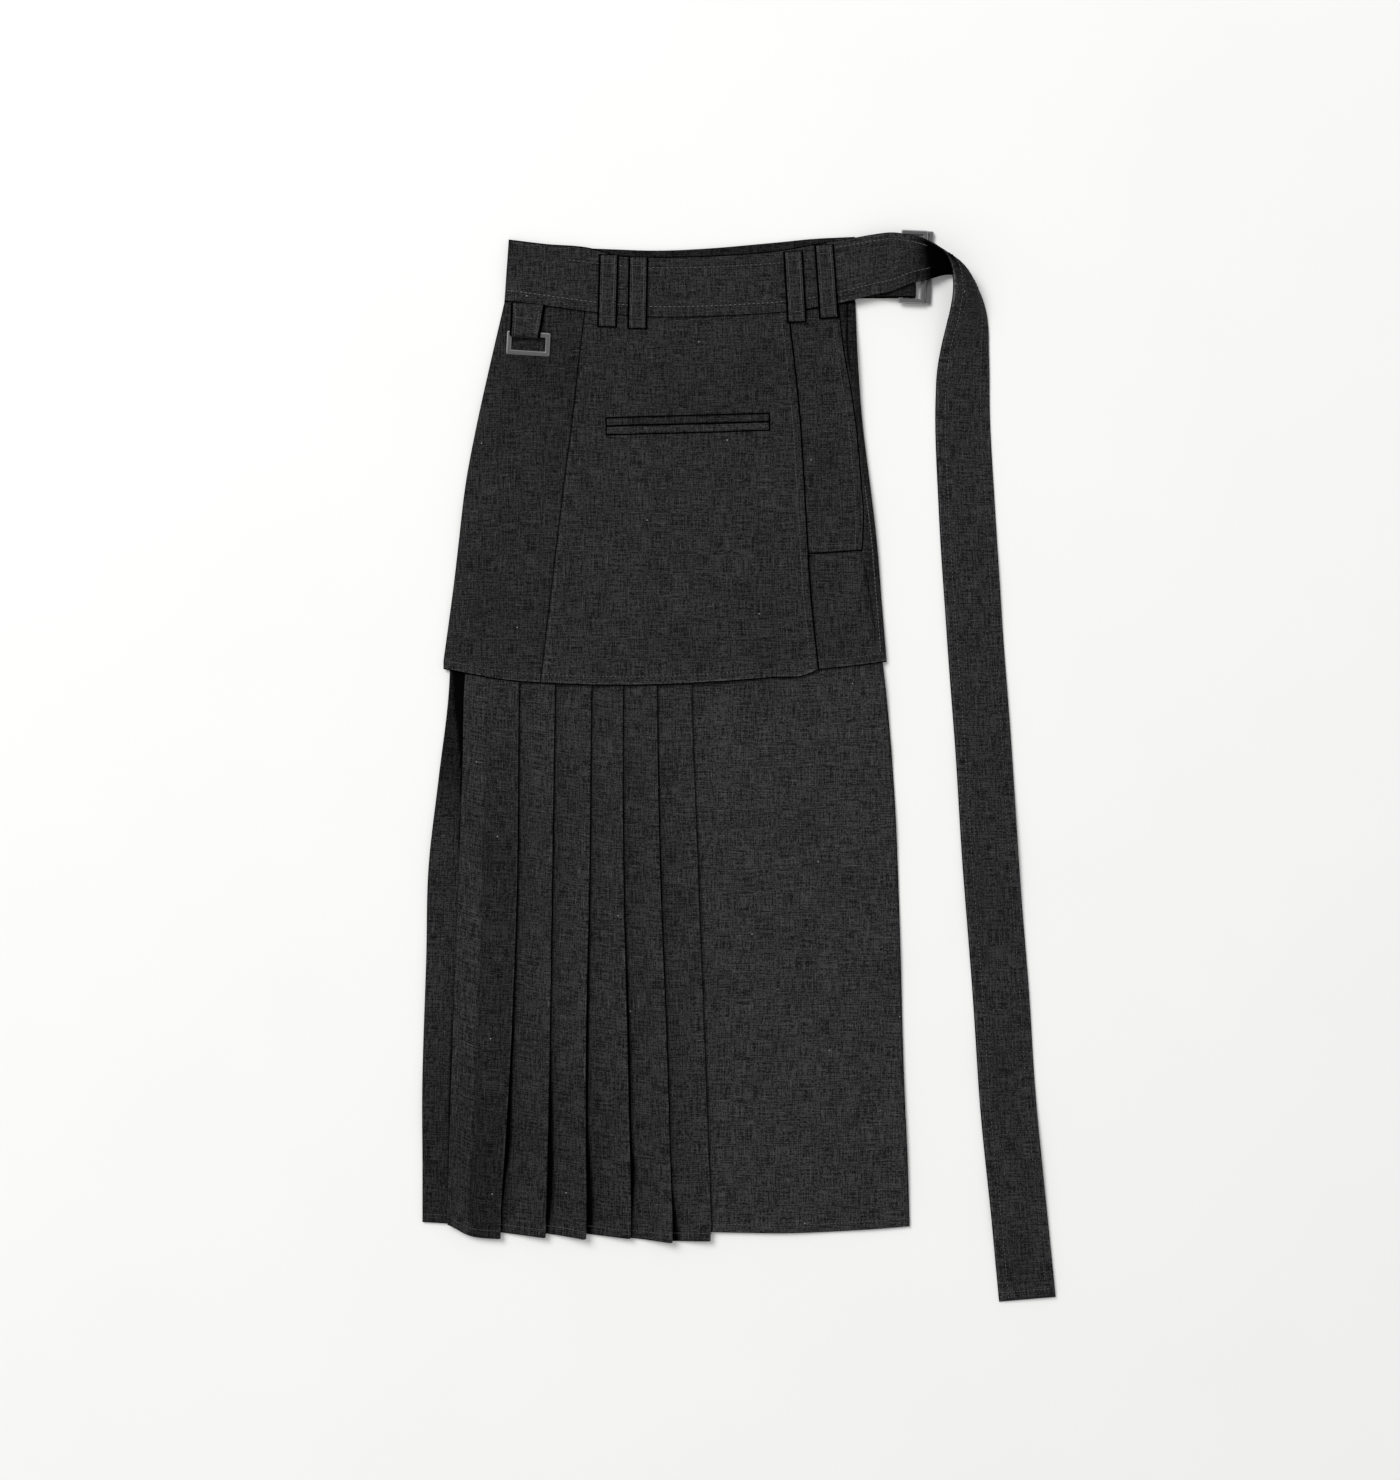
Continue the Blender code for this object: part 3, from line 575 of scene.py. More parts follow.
@dataclass
class Sheet:
    """A piece of cloth on a grid of its middle surface: rows run down, columns run right.

    Painted light and wear (painted shade below 0, painted highlight and wear above 0) and thickness
    in mm are one number or a grid. Shade is how far a rim under the edge, painted black as a shadow
    line, stands out at the top, right, hem and left side.
    """

    name: str
    middle: Array
    painted_light_and_wear: Array = 0.0
    thick: Array = 0.7
    grain: Grain = Grain.STRAIGHT
    shade: tuple = (0.0, 0.0, 0.0, 0.0)

    def normals(self) -> Array:
        """Unit normals of the middle surface: the column step crossed with the upward row step."""
        across = np.gradient(self.middle, axis=1)
        up = -np.gradient(self.middle, axis=0)
        normal = np.cross(across, up)
        return normal / np.maximum(np.linalg.norm(normal, axis=-1, keepdims=True), 1e-9)

    def face(self, side: float, lift: float = 0.0) -> Array:
        """Points of one face: the middle plus half the wall and a lift along the normal."""
        half = np.broadcast_to(self.thick, self.middle.shape[:2])[..., None] / 2 + lift
        return self.middle + side * half * self.normals()

    def on_face(self, row: Array, column: Array, lift: float = 0.0) -> Array:
        """Points on the upper face between grid places: each blends its cell's four corners.

        Args:
            row: places down the grid, with fractions.
            column: places across it.
            lift: height over the face in mm.
        Returns:
            Points in mm.
        """
        top = self.face(1.0, lift)
        row = np.clip(row, 0, top.shape[0] - 1.001)
        column = np.clip(column, 0, top.shape[1] - 1.001)
        i, j = row.astype(int), column.astype(int)
        p, q = (row - i)[..., None], (column - j)[..., None]
        return ((1 - p) * ((1 - q) * top[i, j] + q * top[i, j + 1])
                + p * ((1 - q) * top[i + 1, j] + q * top[i + 1, j + 1]))

    def from_hem(self, distance: float, start: float = 0.0, stop: float = 1.0,
                 lift: float = 0.0) -> Array:
        """A line on the upper face at one distance from the hem.

        Args:
            distance: mm from the last row, measured down each column.
            start: first place across, as a part of the columns.
            stop: last place across.
            lift: height over the face.
        Returns:
            Points in mm.
        """
        length = along_rows(self.middle)
        row, column = self.level(length[-1] - length, distance, start, stop)
        return self.on_face(row, column, lift)

    def from_side(self, distance: float, start: float = 0.0, stop: float = 1.0,
                  lift: float = 0.0, right: bool = True) -> Array:
        """A line on the upper face at one distance from a side, read as from_hem reads the hem."""
        length = along_rows(np.swapaxes(self.middle, 0, 1))
        column, row = self.level(length[-1] - length if right else length, distance, start, stop)
        return self.on_face(row, column, lift)

    @staticmethod
    def level(away: Array, distance: float, start: float, stop: float) -> tuple:
        """Grid places at one distance from an edge.

        Args:
            away: distance of each grid point from the edge, rising or falling down its columns.
            distance: the distance that is wanted.
            start: first place across, as a part of the columns.
            stop: last place across.
        Returns:
            Rows and columns at which away has that value, two for every column.
        """
        rows, columns = away.shape
        sign = 1.0 if away[-1, 0] > away[0, 0] else -1.0
        at = [np.interp(sign * distance, sign * line, np.arange(rows)) for line in away.T]
        column = np.linspace(start * (columns - 1), stop * (columns - 1), 2 * columns)
        return np.interp(column, np.arange(columns), at), column

    def outwards(self) -> Array:
        """How far the black rim of painted shadow stands out at each border point, as a vector
        field on the grid.
        """
        grid, away = self.middle, np.zeros_like(self.middle)
        for side, (edge, inner) in enumerate(((np.s_[0], np.s_[1]), (np.s_[:, -1], np.s_[:, -2]),
                                              (np.s_[-1], np.s_[-2]), (np.s_[:, 0], np.s_[:, 1]))):
            run = grid[edge] - grid[inner]
            run = run / np.maximum(np.linalg.norm(run, axis=-1, keepdims=True), 1e-6)
            away[edge] += run * max(self.shade[side], 0.03)
        return away

    def mesh(self) -> bpy.types.Mesh:
        """Close the two faces with a rim into one thin shell.

        Where there is shade the rim goes down, out and back in, and its outer two lines are painted
        black as a shadow line round the piece.
        Returns:
            The mesh, with cloth coordinates and painted light and wear.
        """
        rows, columns = self.middle.shape[:2]
        upper, lower = self.face(1.0).reshape(-1, 3), self.face(-1.0).reshape(-1, 3)
        count = rows * columns
        number = np.arange(count).reshape(rows, columns)
        faces = grid_quads(rows, columns)
        border = np.concatenate([number[-1], number[-2:0:-1, -1], number[0, ::-1],
                                 number[1:-1, 0]])
        points, lines = [upper, lower], [border + count, border]
        if any(self.shade):
            out = self.outwards().reshape(-1, 3)[border]
            points += [lower[border] * 0.75 + upper[border] * 0.25 + out * 0.15,
                       lower[border] + out]
            ring = 2 * count + np.arange(len(border))
            lines = [border + count, ring + len(border), ring, border]
        rim = [np.stack([low, np.roll(low, -1), np.roll(high, -1), high], axis=-1)
               for low, high in zip(lines, lines[1:])]
        quads = np.concatenate([faces, faces[:, ::-1] + count, *rim])
        if self.grain is Grain.STRAIGHT:
            uv = self.middle[..., :2]
        else:
            across = along_rows(np.swapaxes(self.middle, 0, 1)).T
            uv = np.stack(np.broadcast_arrays(across.mean(axis=0)[None, :],
                                              -along_rows(self.middle).mean(axis=1)[:, None]),
                          axis=-1)
        uv = uv.reshape(-1, 2)
        painted_light_and_wear = np.broadcast_to(self.painted_light_and_wear, (rows, columns)).ravel()
        extra = len(points) - 2
        # The lower face keeps the painted shade and half the painted highlight and wear; the rim's
        # outer rings get -1, painted black as a shadow line.
        return build_mesh(self.name + "_cloth", np.concatenate(points), quads,
                          np.concatenate([uv, uv, *[uv[border]] * extra]),
                          np.concatenate([painted_light_and_wear, np.where(painted_light_and_wear > 0, 0.5 * painted_light_and_wear, painted_light_and_wear),
                                          np.full(extra * len(border), -1.0)]))

    def area(self) -> float:
        """Area of the middle surface in square metres."""
        a = self.middle[1:, 1:] - self.middle[:-1, :-1]
        b = self.middle[1:, :-1] - self.middle[:-1, 1:]
        return float(np.linalg.norm(np.cross(a, b), axis=-1).sum() / 2 * MM * MM)


def lay_panel(left: Callable, right: Callable, top: Callable, hem: Callable, across: Array,
              down: Array) -> tuple:
    """Spread a panel between its four edges: x by parts across at y, y by parts down at x.

    Args:
        left: x of the left edge at y.
        right: x of the right edge at y.
        top: y of the top edge at x.
        hem: y of the hem at x.
        across: parts from left to right.
        down: parts from top to hem.
    Returns:
        Grids of x and y, found in a few rounds of putting one into the other.
    """
    y = np.broadcast_to(300.0 - 400.0 * down[:, None], (len(down), len(across))).copy()
    x = np.zeros_like(y)
    for _ in range(6):
        x = left(y) + (right(y) - left(y)) * across
        y = top(x) + (hem(x) - top(x)) * down[:, None]
    return x, y


@dataclass(frozen=True)
class Relief:
    """Unevenness of laid cloth: a low swell plus listed soft creases.

    The swell is a sum of four slanting waves, scaled to lie between 0 and its height. A crease is
    a bell across a line from one place to another, tapered past its ends; positive is a ridge.
    """

    swell: float
    long_mm: float
    shift: float
    creases: tuple = ()

    def __call__(self, x: Array, y: Array) -> Array:
        """Add up the swell and the creases.

        Args:
            x: places across in mm.
            y: places up in mm.
        Returns:
            Height in mm at each place, nowhere below 0.
        """
        total = np.zeros(np.broadcast(x, y).shape)
        for number, (angle, length) in enumerate(((0.3, 1.0), (1.25, 0.74), (2.1, 0.53),
                                                  (2.8, 0.41))):
            run = x * math.cos(angle) + y * math.sin(angle)
            total = total + np.sin(2 * math.pi * run / (self.long_mm * length)
                                   + self.shift + 1.7 * number) * length
        height = self.swell * ease(0.5 + total / 5.0)
        for x0, y0, x1, y1, width, rise in self.creases:
            dx, dy = x1 - x0, y1 - y0
            size = math.hypot(dx, dy)
            t = ((x - x0) * dx + (y - y0) * dy) / size ** 2
            off = ((x - x0) * dy - (y - y0) * dx) / size
            taper = ease((t + 0.25) / 0.4) * ease((1.25 - t) / 0.4)
            height = height + rise * bell(off, width) * taper
        return np.maximum(height, 0.0)


def hem_form(distance: Array, line: float, run: Array, depth: float = 0.22) -> Array:
    """Height of a turned and stitched hem: it sinks at the stitch line and puckers below it.

    Args:
        distance: mm from the edge.
        line: mm from the edge to the stitches.
        run: mm along the hem.
        depth: how far the stitches pull in.
    Returns:
        Offset in mm: minus a bell at the line, and a ripple between it and the edge.
    """
    ripple = np.sin(run * 0.62 + 2.2 * np.sin(run * 0.043)) * np.sin(run * 0.171 + 1.3)
    near = ease(1.0 - np.abs(distance - line * 0.6) / (line * 1.1))
    return -depth * bell(distance - line, 1.6) + 0.16 * ripple * near


@dataclass
class Skirt:
    """What every sub-assembly shares: finishes, the relief of the layers, and what it has made."""

    cloth: bpy.types.Material
    thread: bpy.types.Material
    metal: bpy.types.Material
    stitches: list = field(default_factory=list)
    long_relief: Relief = Relief(1.8, 170.0, 0.4, (
        (-20, -120, 120, -60, 16, 1.5), (30, -330, 90, -180, 14, 1.3),
        (-190, -60, -60, -40, 12, 0.7), (60, 40, 140, 10, 10, 1.3),
        (-150, -210, 60, -240, 13, 0.7)))
    over_relief: Relief = Relief(1.3, 110.0, 2.0, (
        (-215, 330, -150, 250, 12, 1.9), (-245, 190, -175, 120, 13, 1.7),
        (-150, 385, -120, 330, 9, 1.7), (-95, 372, -20, 340, 13, 1.8),
        (20, 385, -10, 330, 10, 1.5), (-160, 255, -90, 200, 13, 1.8),
        (-40, 250, 40, 215, 14, 1.6), (-110, 150, 10, 120, 15, 1.6),
        (70, 330, 100, 240, 8, 1.3), (75, 200, 115, 130, 9, 1.5)))

    def under(self, x: Array, y: Array) -> Array:
        """Relief of the long skirt, fading out at the waist seam."""
        return self.long_relief(x, y) * ease((LAY.waist(x) - y) / 45.0)

    def over(self, x: Array, y: Array) -> Array:
        """Relief of the over-skirt: the long skirt's and its own."""
        return self.under(x, y) + self.over_relief(x, y) * ease((LAY.waist(x) - y) / 30.0)

    def sew(self, line: Array, pitch: float = 3.1, long: float = 2.2, thick: float = 0.3) -> None:
        """Keep a line of stitches for the stitching piece: points, pitch, length, thickness."""
        self.stitches.append((line, pitch, long, thick))

    def dress(self, sheet: Sheet, flat: tuple, area: Optional[float] = None, held: str = "laid",
              rests_on: Sequence[str] = ()) -> None:
        """Put a cloth piece in the scene for the node of its name.

        Args:
            sheet: the piece.
            flat: width and length that it was cut to, in metres; not used.
            area: flat area where the cut isn't a rectangle; not used.
            held: how it is held; not used.
            rests_on: what it lies on; not used.
        """
        made = place_piece(sheet.mesh(), self.cloth, Body.SKIRT, (sheet.name,))


@dataclass
class Backs:
    """Back of the over-skirt on the ground, and the back of the long skirt on it."""

    skirt: Skirt
    step: float = 6.0
    hem_line: float = 7.0
    lift: float = 0.45

    def build(self) -> None:
        """Lay both backs, each with a low ridge at its hem's stitch line."""
        def short_hem(x: Array) -> Array:
            """The over-skirt's back hem: the front's, carried on to the right panel's corner."""
            rise = np.clip((x - LAY.short_hem.at[-1]) / (132 - LAY.short_hem.at[-1]), 0, 1)
            return LAY.short_hem(x) + rise * (94 - 86.5)

        x, y = lay_panel(LAY.over_left, LAY.over_right, LAY.waist, short_hem,
                         spaced(380, self.step), spaced(330, self.step, 2.0))
        away = along_rows(np.dstack([x, y]))[-1] - along_rows(np.dstack([x, y]))
        z = LAY.back_z + self.lift + 0.12 * bell(away - self.hem_line, 1.6)
        self.skirt.dress(Sheet("overskirt_back", np.dstack([x, y, z])), flat=(0.400, 0.345),
                         area=0.120)

        x, y = lay_panel(LAY.long_left, LAY.long_right, LAY.waist, LAY.long_back_hem,
                         spaced(430, self.step), spaced(825, self.step, 2.0))
        z = LAY.long_back_z - LAY.settle(y) + self.lift + 0.3 * self.skirt.under(x, y)
        self.skirt.dress(Sheet("long_back", np.dstack([x, y, z])), flat=(0.440, 0.840), area=0.325,
                         rests_on=["overskirt_back_cloth"])


@dataclass
class LongFront:
    """Pleated panel and the plain panel sewn to it under the last fold.

    Across the skirt the pleated panel is a path: the side strip, the box fold, then six knife
    folds, each a run up to its edge, a half turn, a run back under it and a turn to the low level.
    """

    skirt: Skirt
    under: float = 12.0
    box_under: float = 13.0
    clear: float = 0.6
    seam_under: float = 4.0
    inset: float = 0.7
    hem_lap: float = 2.0
    strip_columns: int = 18
    panel_steps: int = 14
    turn_steps: int = 6
    step: float = 5.2
    hem_line: float = 7.0
    # The next two numbers are painted light: brightness added over the pleated panel and over the
    # plain panel.
    tone: float = 0.035
    plain_painted_light: float = 0.09
    # Painted highlight and wear on the folded edges and beside them; the deepest painted shade in a
    # fold; painted shade on the left pleats near the hem.
    edge_highlight_and_wear: float = 0.34
    beside_highlight_and_wear: float = 0.07
    fold_painted_shade: float = 0.97
    low_shade: float = 0.14
    emerging: tuple = (-421, -420.6, -421.4, -421.8, -425.6, -428.3)
    folded: tuple = (-425.6, -424.5, -425.5, -425.5, -428.6, -427.8)
    strip_hem: float = -411.2
    box_hem: Curve = Curve((0, .12, .3, .43, .67, 1),
                           (-413.6, -416.2, -420.7, -423, -424.8, -425.6))
    lifts: tuple = tuple(Curve((410, 150, 60, -110, *y), (0, 0.2, *up)) for y, up in (
        ((-256, -317, -336, -371, -425), (0.5, 1.4, 3, 4.2, 4.8, 3.6, 2)),
        ((-256, -317, -360, -388, -425), (0.4, 1.2, 2, 4, 5.2, 5, 2.2)),
        ((-283, -325, -371, -400, -425), (0.4, 1.2, 2.8, 2.6, 5, 5.6, 5)),
        ((-283, -335, -365, -390, -425), (0.4, 1, 3, 3, 4.4, 3.6, 2)),
        ((-283, -376, -400, -425), (0.4, 1, 1.6, 1.8, 3.6, 5.4)),
        ((-283, -380, -425), (0.5, 1.2, 1.5, 1.2, 1))))
    box_lift: Curve = Curve((410, 180, 90, 20, -60, -250, -340, -417),
                            (0, 0.6, 4.4, 3.2, 1, 1.2, 1.8, 0.5))
    # Widths of the painted shade in each knife fold's gap and in the box fold's gap, and painted
    # shade on the side strip.
    fold_shade_widths: tuple = tuple(Curve((90, -110, *y), wide) for y, wide in (
        ((-256, -317, -336, -352, -371, -389, -424), (1, 1.8, 2.9, 4.5, 5.8, 5, 3.4, 2.2, 1)),
        ((-256, -317, -360, -388, -424), (1, 1.6, 1.8, 4.5, 6.3, 6.3, 1.8)),
        ((-283, -325, -371, -387, -412, -424), (1, 1.7, 3, 2.6, 6, 6.6, 6.6, 5)),
        ((-283, -335, -361, -376, -387, -412), (1, 1.5, 3.4, 3, 5, 5, 3.6, 1.6)),
        ((-283, -376, -391, -407, -425), (1, 1.7, 1.6, 1.7, 2.7, 5, 7)),
        ((-283, -335, -425), (1.1, 2, 1.6, 1.5, 0.8))))
    box_shade_width: Curve = Curve((90, 60, 25, -10, -60, -330, -400),
                              (10.4, 9, 5.2, 2.4, 1.5, 1.4, 0.9))
    strip_shade: Curve = Curve((90, 40, -10, -60, -120, -250, -310, -360, -420),
                               (0.72, 0.6, 0.4, -0.1, -0.13, -0.14, -0.04, 0.04, 0.04))

    def stations(self) -> dict:
        """Columns of the path as flat arrays.

        Each column has its x as a blend of two edge lines plus an offset, its height as a level
        plus a share of its fold's lift, the bulge and the swing of a half turn, and its hem.
        Returns:
            Arrays by name, one value a column.
        """
        low, mid, top = (level + CLOTH / 2 for level in (LAY.low_z, LAY.mid_z, LAY.top_z))
        rows = []

        def run(a: int, b: int, dx: tuple, z: tuple, fold: int, shares: tuple, hems: object,
                count: int, bend: float = 1.0, mark: float = 0.0) -> None:
            """Add a run of columns from edge line a to edge line b, closer together at a.

            Args:
                a: number of the edge line that it starts from.
                b: number of the one that it goes to.
                dx: its offsets at both ends.
                z: its levels at both ends.
                fold: the fold whose lift it takes.
                shares: its shares of that lift at both ends.
                hems: its hem at both ends, or a curve of it.
                count: how many columns it has.
                bend: power of the share's rise; 1 for even columns and an even rise.
                mark: what its swing says.
            """
            t = np.linspace(0, 1, count)
            rise = t
            if bend != 1.0:
                t = 0.45 * t + 0.55 * t * t
                rise = ease(t)
            hem_at = hems(t) if callable(hems) else between(hems, t)
            rows.append((a, b, t, between(dx, t), between(z, rise), fold,
                         between(shares, t ** bend), 0.0, mark, hem_at))

        def turn(a: int, side: float, dx: float, z: tuple, fold: int, shares: tuple,
                 hem: float) -> None:
            """Add a half turn at an edge line: the sine of its angle is how far it bulges.

            Args:
                a: number of the edge line.
                side: 1 where it bulges to the right, -1 to the left.
                dx: its offset.
                z: its levels at both ends.
                fold: the fold whose lift it takes.
                shares: its shares of that lift at both ends.
                hem: its hem.
            """
            angle = np.linspace(0, math.pi, self.turn_steps + 2)[1:-1]
            part = (1 - np.cos(angle)) / 2
            rows.append((a, a, 0.0, dx, between(z, part), fold, between(shares, part),
                         side * np.sin(angle), abs(shares[0] - shares[1]), hem))

        box, inset, lap = 6, self.inset, self.hem_lap
        under, start = self.box_under - self.clear, self.box_hem.value[0]
        run(0, 1, (0, under), (low, low), box, (0, 0), (self.strip_hem, start + 0.6),
            self.strip_columns)
        turn(1, 1, under, (low, mid), box, (0, 0.3), start + 0.6)
        run(1, 1, (under, inset), (mid, mid), box, (0.3, 0.6), (start + 0.6, start + 0.2), 5)
        turn(1, -1, inset, (mid, top), box, (0.6, 1), start)
        for k in range(6):
            edge = k + 2
            hem, out = self.folded[k], self.emerging[k]
            if k:
                run(edge - 1, edge - 1, (1.5 - self.under, self.clear), (low, low), k, (0, 0),
                    (self.folded[k - 1] + lap, out), 4)
                run(edge - 1, edge, (self.clear + 0.5, -2.0), (low, top), k, (0, 1), (out, hem),
                    self.panel_steps, 2.2)
                run(edge, edge, (-1.3, -inset), (top, top), k, (1, 1), (hem, hem), 2, mark=2)
            else:
                run(1, edge, (1.2, -2.0), (top, top), box, (1, 0), self.box_hem,
                    self.panel_steps + 3)
                run(edge, edge, (-1.3, -inset), (top, top), box, (0, 0), (hem, hem), 2, mark=2)
            turn(edge, 1, -inset, (top, mid), k, (1, 0.6), hem)
            run(edge, edge, (-1.6, inset - self.under), (mid, mid), k, (0.6, 0), (hem, hem + lap),
                4)
            turn(edge, -1, inset - self.under, (mid, low), k, (0, 0), hem + lap)
        run(7, 7, (1.5 - self.under, -self.seam_under), (low, low), 5, (0, 0), (hem + lap, -418),
            4)
        table = np.concatenate([np.stack(np.broadcast_arrays(*row), axis=1) for row in rows])
        names = ("a", "b", "blend", "dx", "z", "fold", "share", "turn", "swing", "hem")
        return dict(zip(names, table.T))

    def painted_shade(self, k: int, x: Array, y: Array) -> Array:
        """Painted shade in knife fold k's gap: 1 at its line, easing to 0 past its width."""
        wide = self.fold_shade_widths[k](y)
        return ease(1.0 - (x - LAY.knife_folds[k](y) - wide * 0.55) / (wide * 0.9))

    def shading(self, st: dict, x: Array, y: Array) -> Array:
        """Painted light of the pleated panel: a painted highlight and wear on its folded edges,
        painted shade on what lies in a fold.

        Beside each knife fold the painted shade is that of its gap plus a painted shadow that falls
        off with the distance. The side strip gets painted shade in the box fold's gap and by
        strip_shade, and the left pleats get a little painted shade toward the hem.
        Args:
            st: the path's columns.
            x: places across in mm.
            y: places up in mm.
        Returns:
            Painted light and wear on the grid.
        """
        strip = np.arange(len(st["a"])) < self.strip_columns
        # Painted highlight and wear on folded edges and on the columns beside them.
        painted_light_and_wear = np.where(st["turn"] > 0, self.edge_highlight_and_wear,
                        np.where(st["swing"] > 1, self.beside_highlight_and_wear, 0.0))
        painted_light_and_wear = painted_light_and_wear * (0.7 + 0.3 * np.sin(y * 0.11 + x * 0.05)) * ease((95 - y) / 90)
        # Painted shade in each knife fold's gap, and a painted shadow falling off past it.
        for k in range(6):
            past = x - LAY.knife_folds[k](y)
            low_side = (st["fold"] == k + 1) | ((k == 5) & (st["fold"] == 5) & (st["share"] == 0))
            shadow = 0.3 * np.exp(-np.maximum(past, 0) / 9.0) * ease((70 - y) / 150)
            dark = self.painted_shade(k, x, y) * (past > -8) + shadow
            painted_light_and_wear = np.where(low_side & (st["share"] < 0.6), painted_light_and_wear - dark, painted_light_and_wear)
        # Painted shade in the box fold's gap and on the side strip, painted light over the panel,
        # and painted shade on the left pleats near the hem.
        wide = self.box_shade_width(y)
        box_gap_shade = ease(1.0 - (LAY.box_fold(y) - x - wide * 0.7) / (wide * 0.6)) * strip
        painted_light_and_wear = painted_light_and_wear - box_gap_shade * ease((y + 405) / 60)
        painted_light_and_wear = painted_light_and_wear - self.strip_shade(y) * strip + self.tone
        painted_light_and_wear = painted_light_and_wear - self.low_shade * ~strip * ease((-230 - y) / 100) * ease((-88 - x) / 30)
        return np.clip(painted_light_and_wear, -self.fold_painted_shade, 1)

    def lay_pleats(self) -> None:
        """Lay the pleated panel: x and y in a few rounds, then its height, relief and hem."""
        skirt, st = self.skirt, self.stations()
        down = spaced(845, self.step, 1.8, 14)
        pick = np.arange(len(st["a"]))
        lines = (LAY.long_left, LAY.box_fold, *LAY.knife_folds)
        y = np.broadcast_to(410 - 830 * down[:, None], (len(down), len(pick))).copy()
        for _ in range(5):
            edges = np.stack([line(y) for line in lines])
            a, b = (edges[st[key].astype(int), :, pick].T for key in ("a", "b"))
            x = a + (b - a) * st["blend"] + st["dx"]
            y = LAY.waist(x) + (st["hem"] - LAY.waist(x)) * down[:, None]
        raised = np.stack([line(y) for line in (*self.lifts, self.box_lift)])
        lift = raised[st["fold"].astype(int), :, pick].T
        own = raised[np.minimum(st["fold"], 5).astype(int), :, pick].T
        first = (st["fold"] > 5) & (pick > 30) & (st["share"] < 1)
        lift = lift * st["share"] + np.where(first, (1 - st["share"]) ** 2.2, 0) * raised[0]
        roll = 0.65 + 0.2 * own * (st["swing"] > 0) * (st["swing"] < 1) * (st["fold"] < 6)
        x = x + st["turn"] * roll
        z = st["z"] + lift * ease((86 - y) / 30.0)
        z = z - LAY.settle(y) + skirt.under(x, y)
        z = z + hem_form(y - st["hem"], self.hem_line, x)
        # Black rims at the hem and the left side are painted shadow lines.
        panel = Sheet("pleated_front", np.dstack([x, y, z]), self.shading(st, x, y),
                      grain=Grain.ALONG, shade=(0, 0, 0.4, 0.7))
        skirt.dress(panel, flat=(0.400, 0.855), held="folded", rests_on=["long_back_cloth"])
        skirt.sew(panel.from_hem(self.hem_line, lift=0.05))

    def lay_plain(self) -> None:
        """Lay the plain panel from under the last fold to the right edge, with its hem."""
        skirt = self.skirt
        x, y = lay_panel(lambda v: LAY.knife_folds[-1](v) - self.seam_under + GAP, LAY.long_right,
                         LAY.waist, LAY.plain_hem, spaced(178, 3.0), spaced(835, 4.0, 1.8, 14))
        away = y - LAY.plain_hem(x)
        z = LAY.low_z - LAY.settle(y) + 0.5 + skirt.under(x, y) + hem_form(away, self.hem_line, x)
        # Painted light over the panel, a painted highlight along the hem's edge, painted shade in
        # the last fold's gap; black rims as painted shadow lines.
        painted_light_and_wear = self.plain_painted_light + 0.25 * bell(away, 1.0) - self.fold_painted_shade * self.painted_shade(5, x, y)
        plain = Sheet("plain_front", np.dstack([x, y, z]), painted_light_and_wear, shade=(0, 0.7, 0.4, 0))
        skirt.dress(plain, flat=(0.186, 0.845), area=0.1437, rests_on=["long_back_cloth"])
        skirt.sew(plain.from_hem(self.hem_line, lift=0.05))

    def build(self) -> None:
        """Lay the pleated panel and the plain panel."""
        self.lay_pleats()
        self.lay_plain()


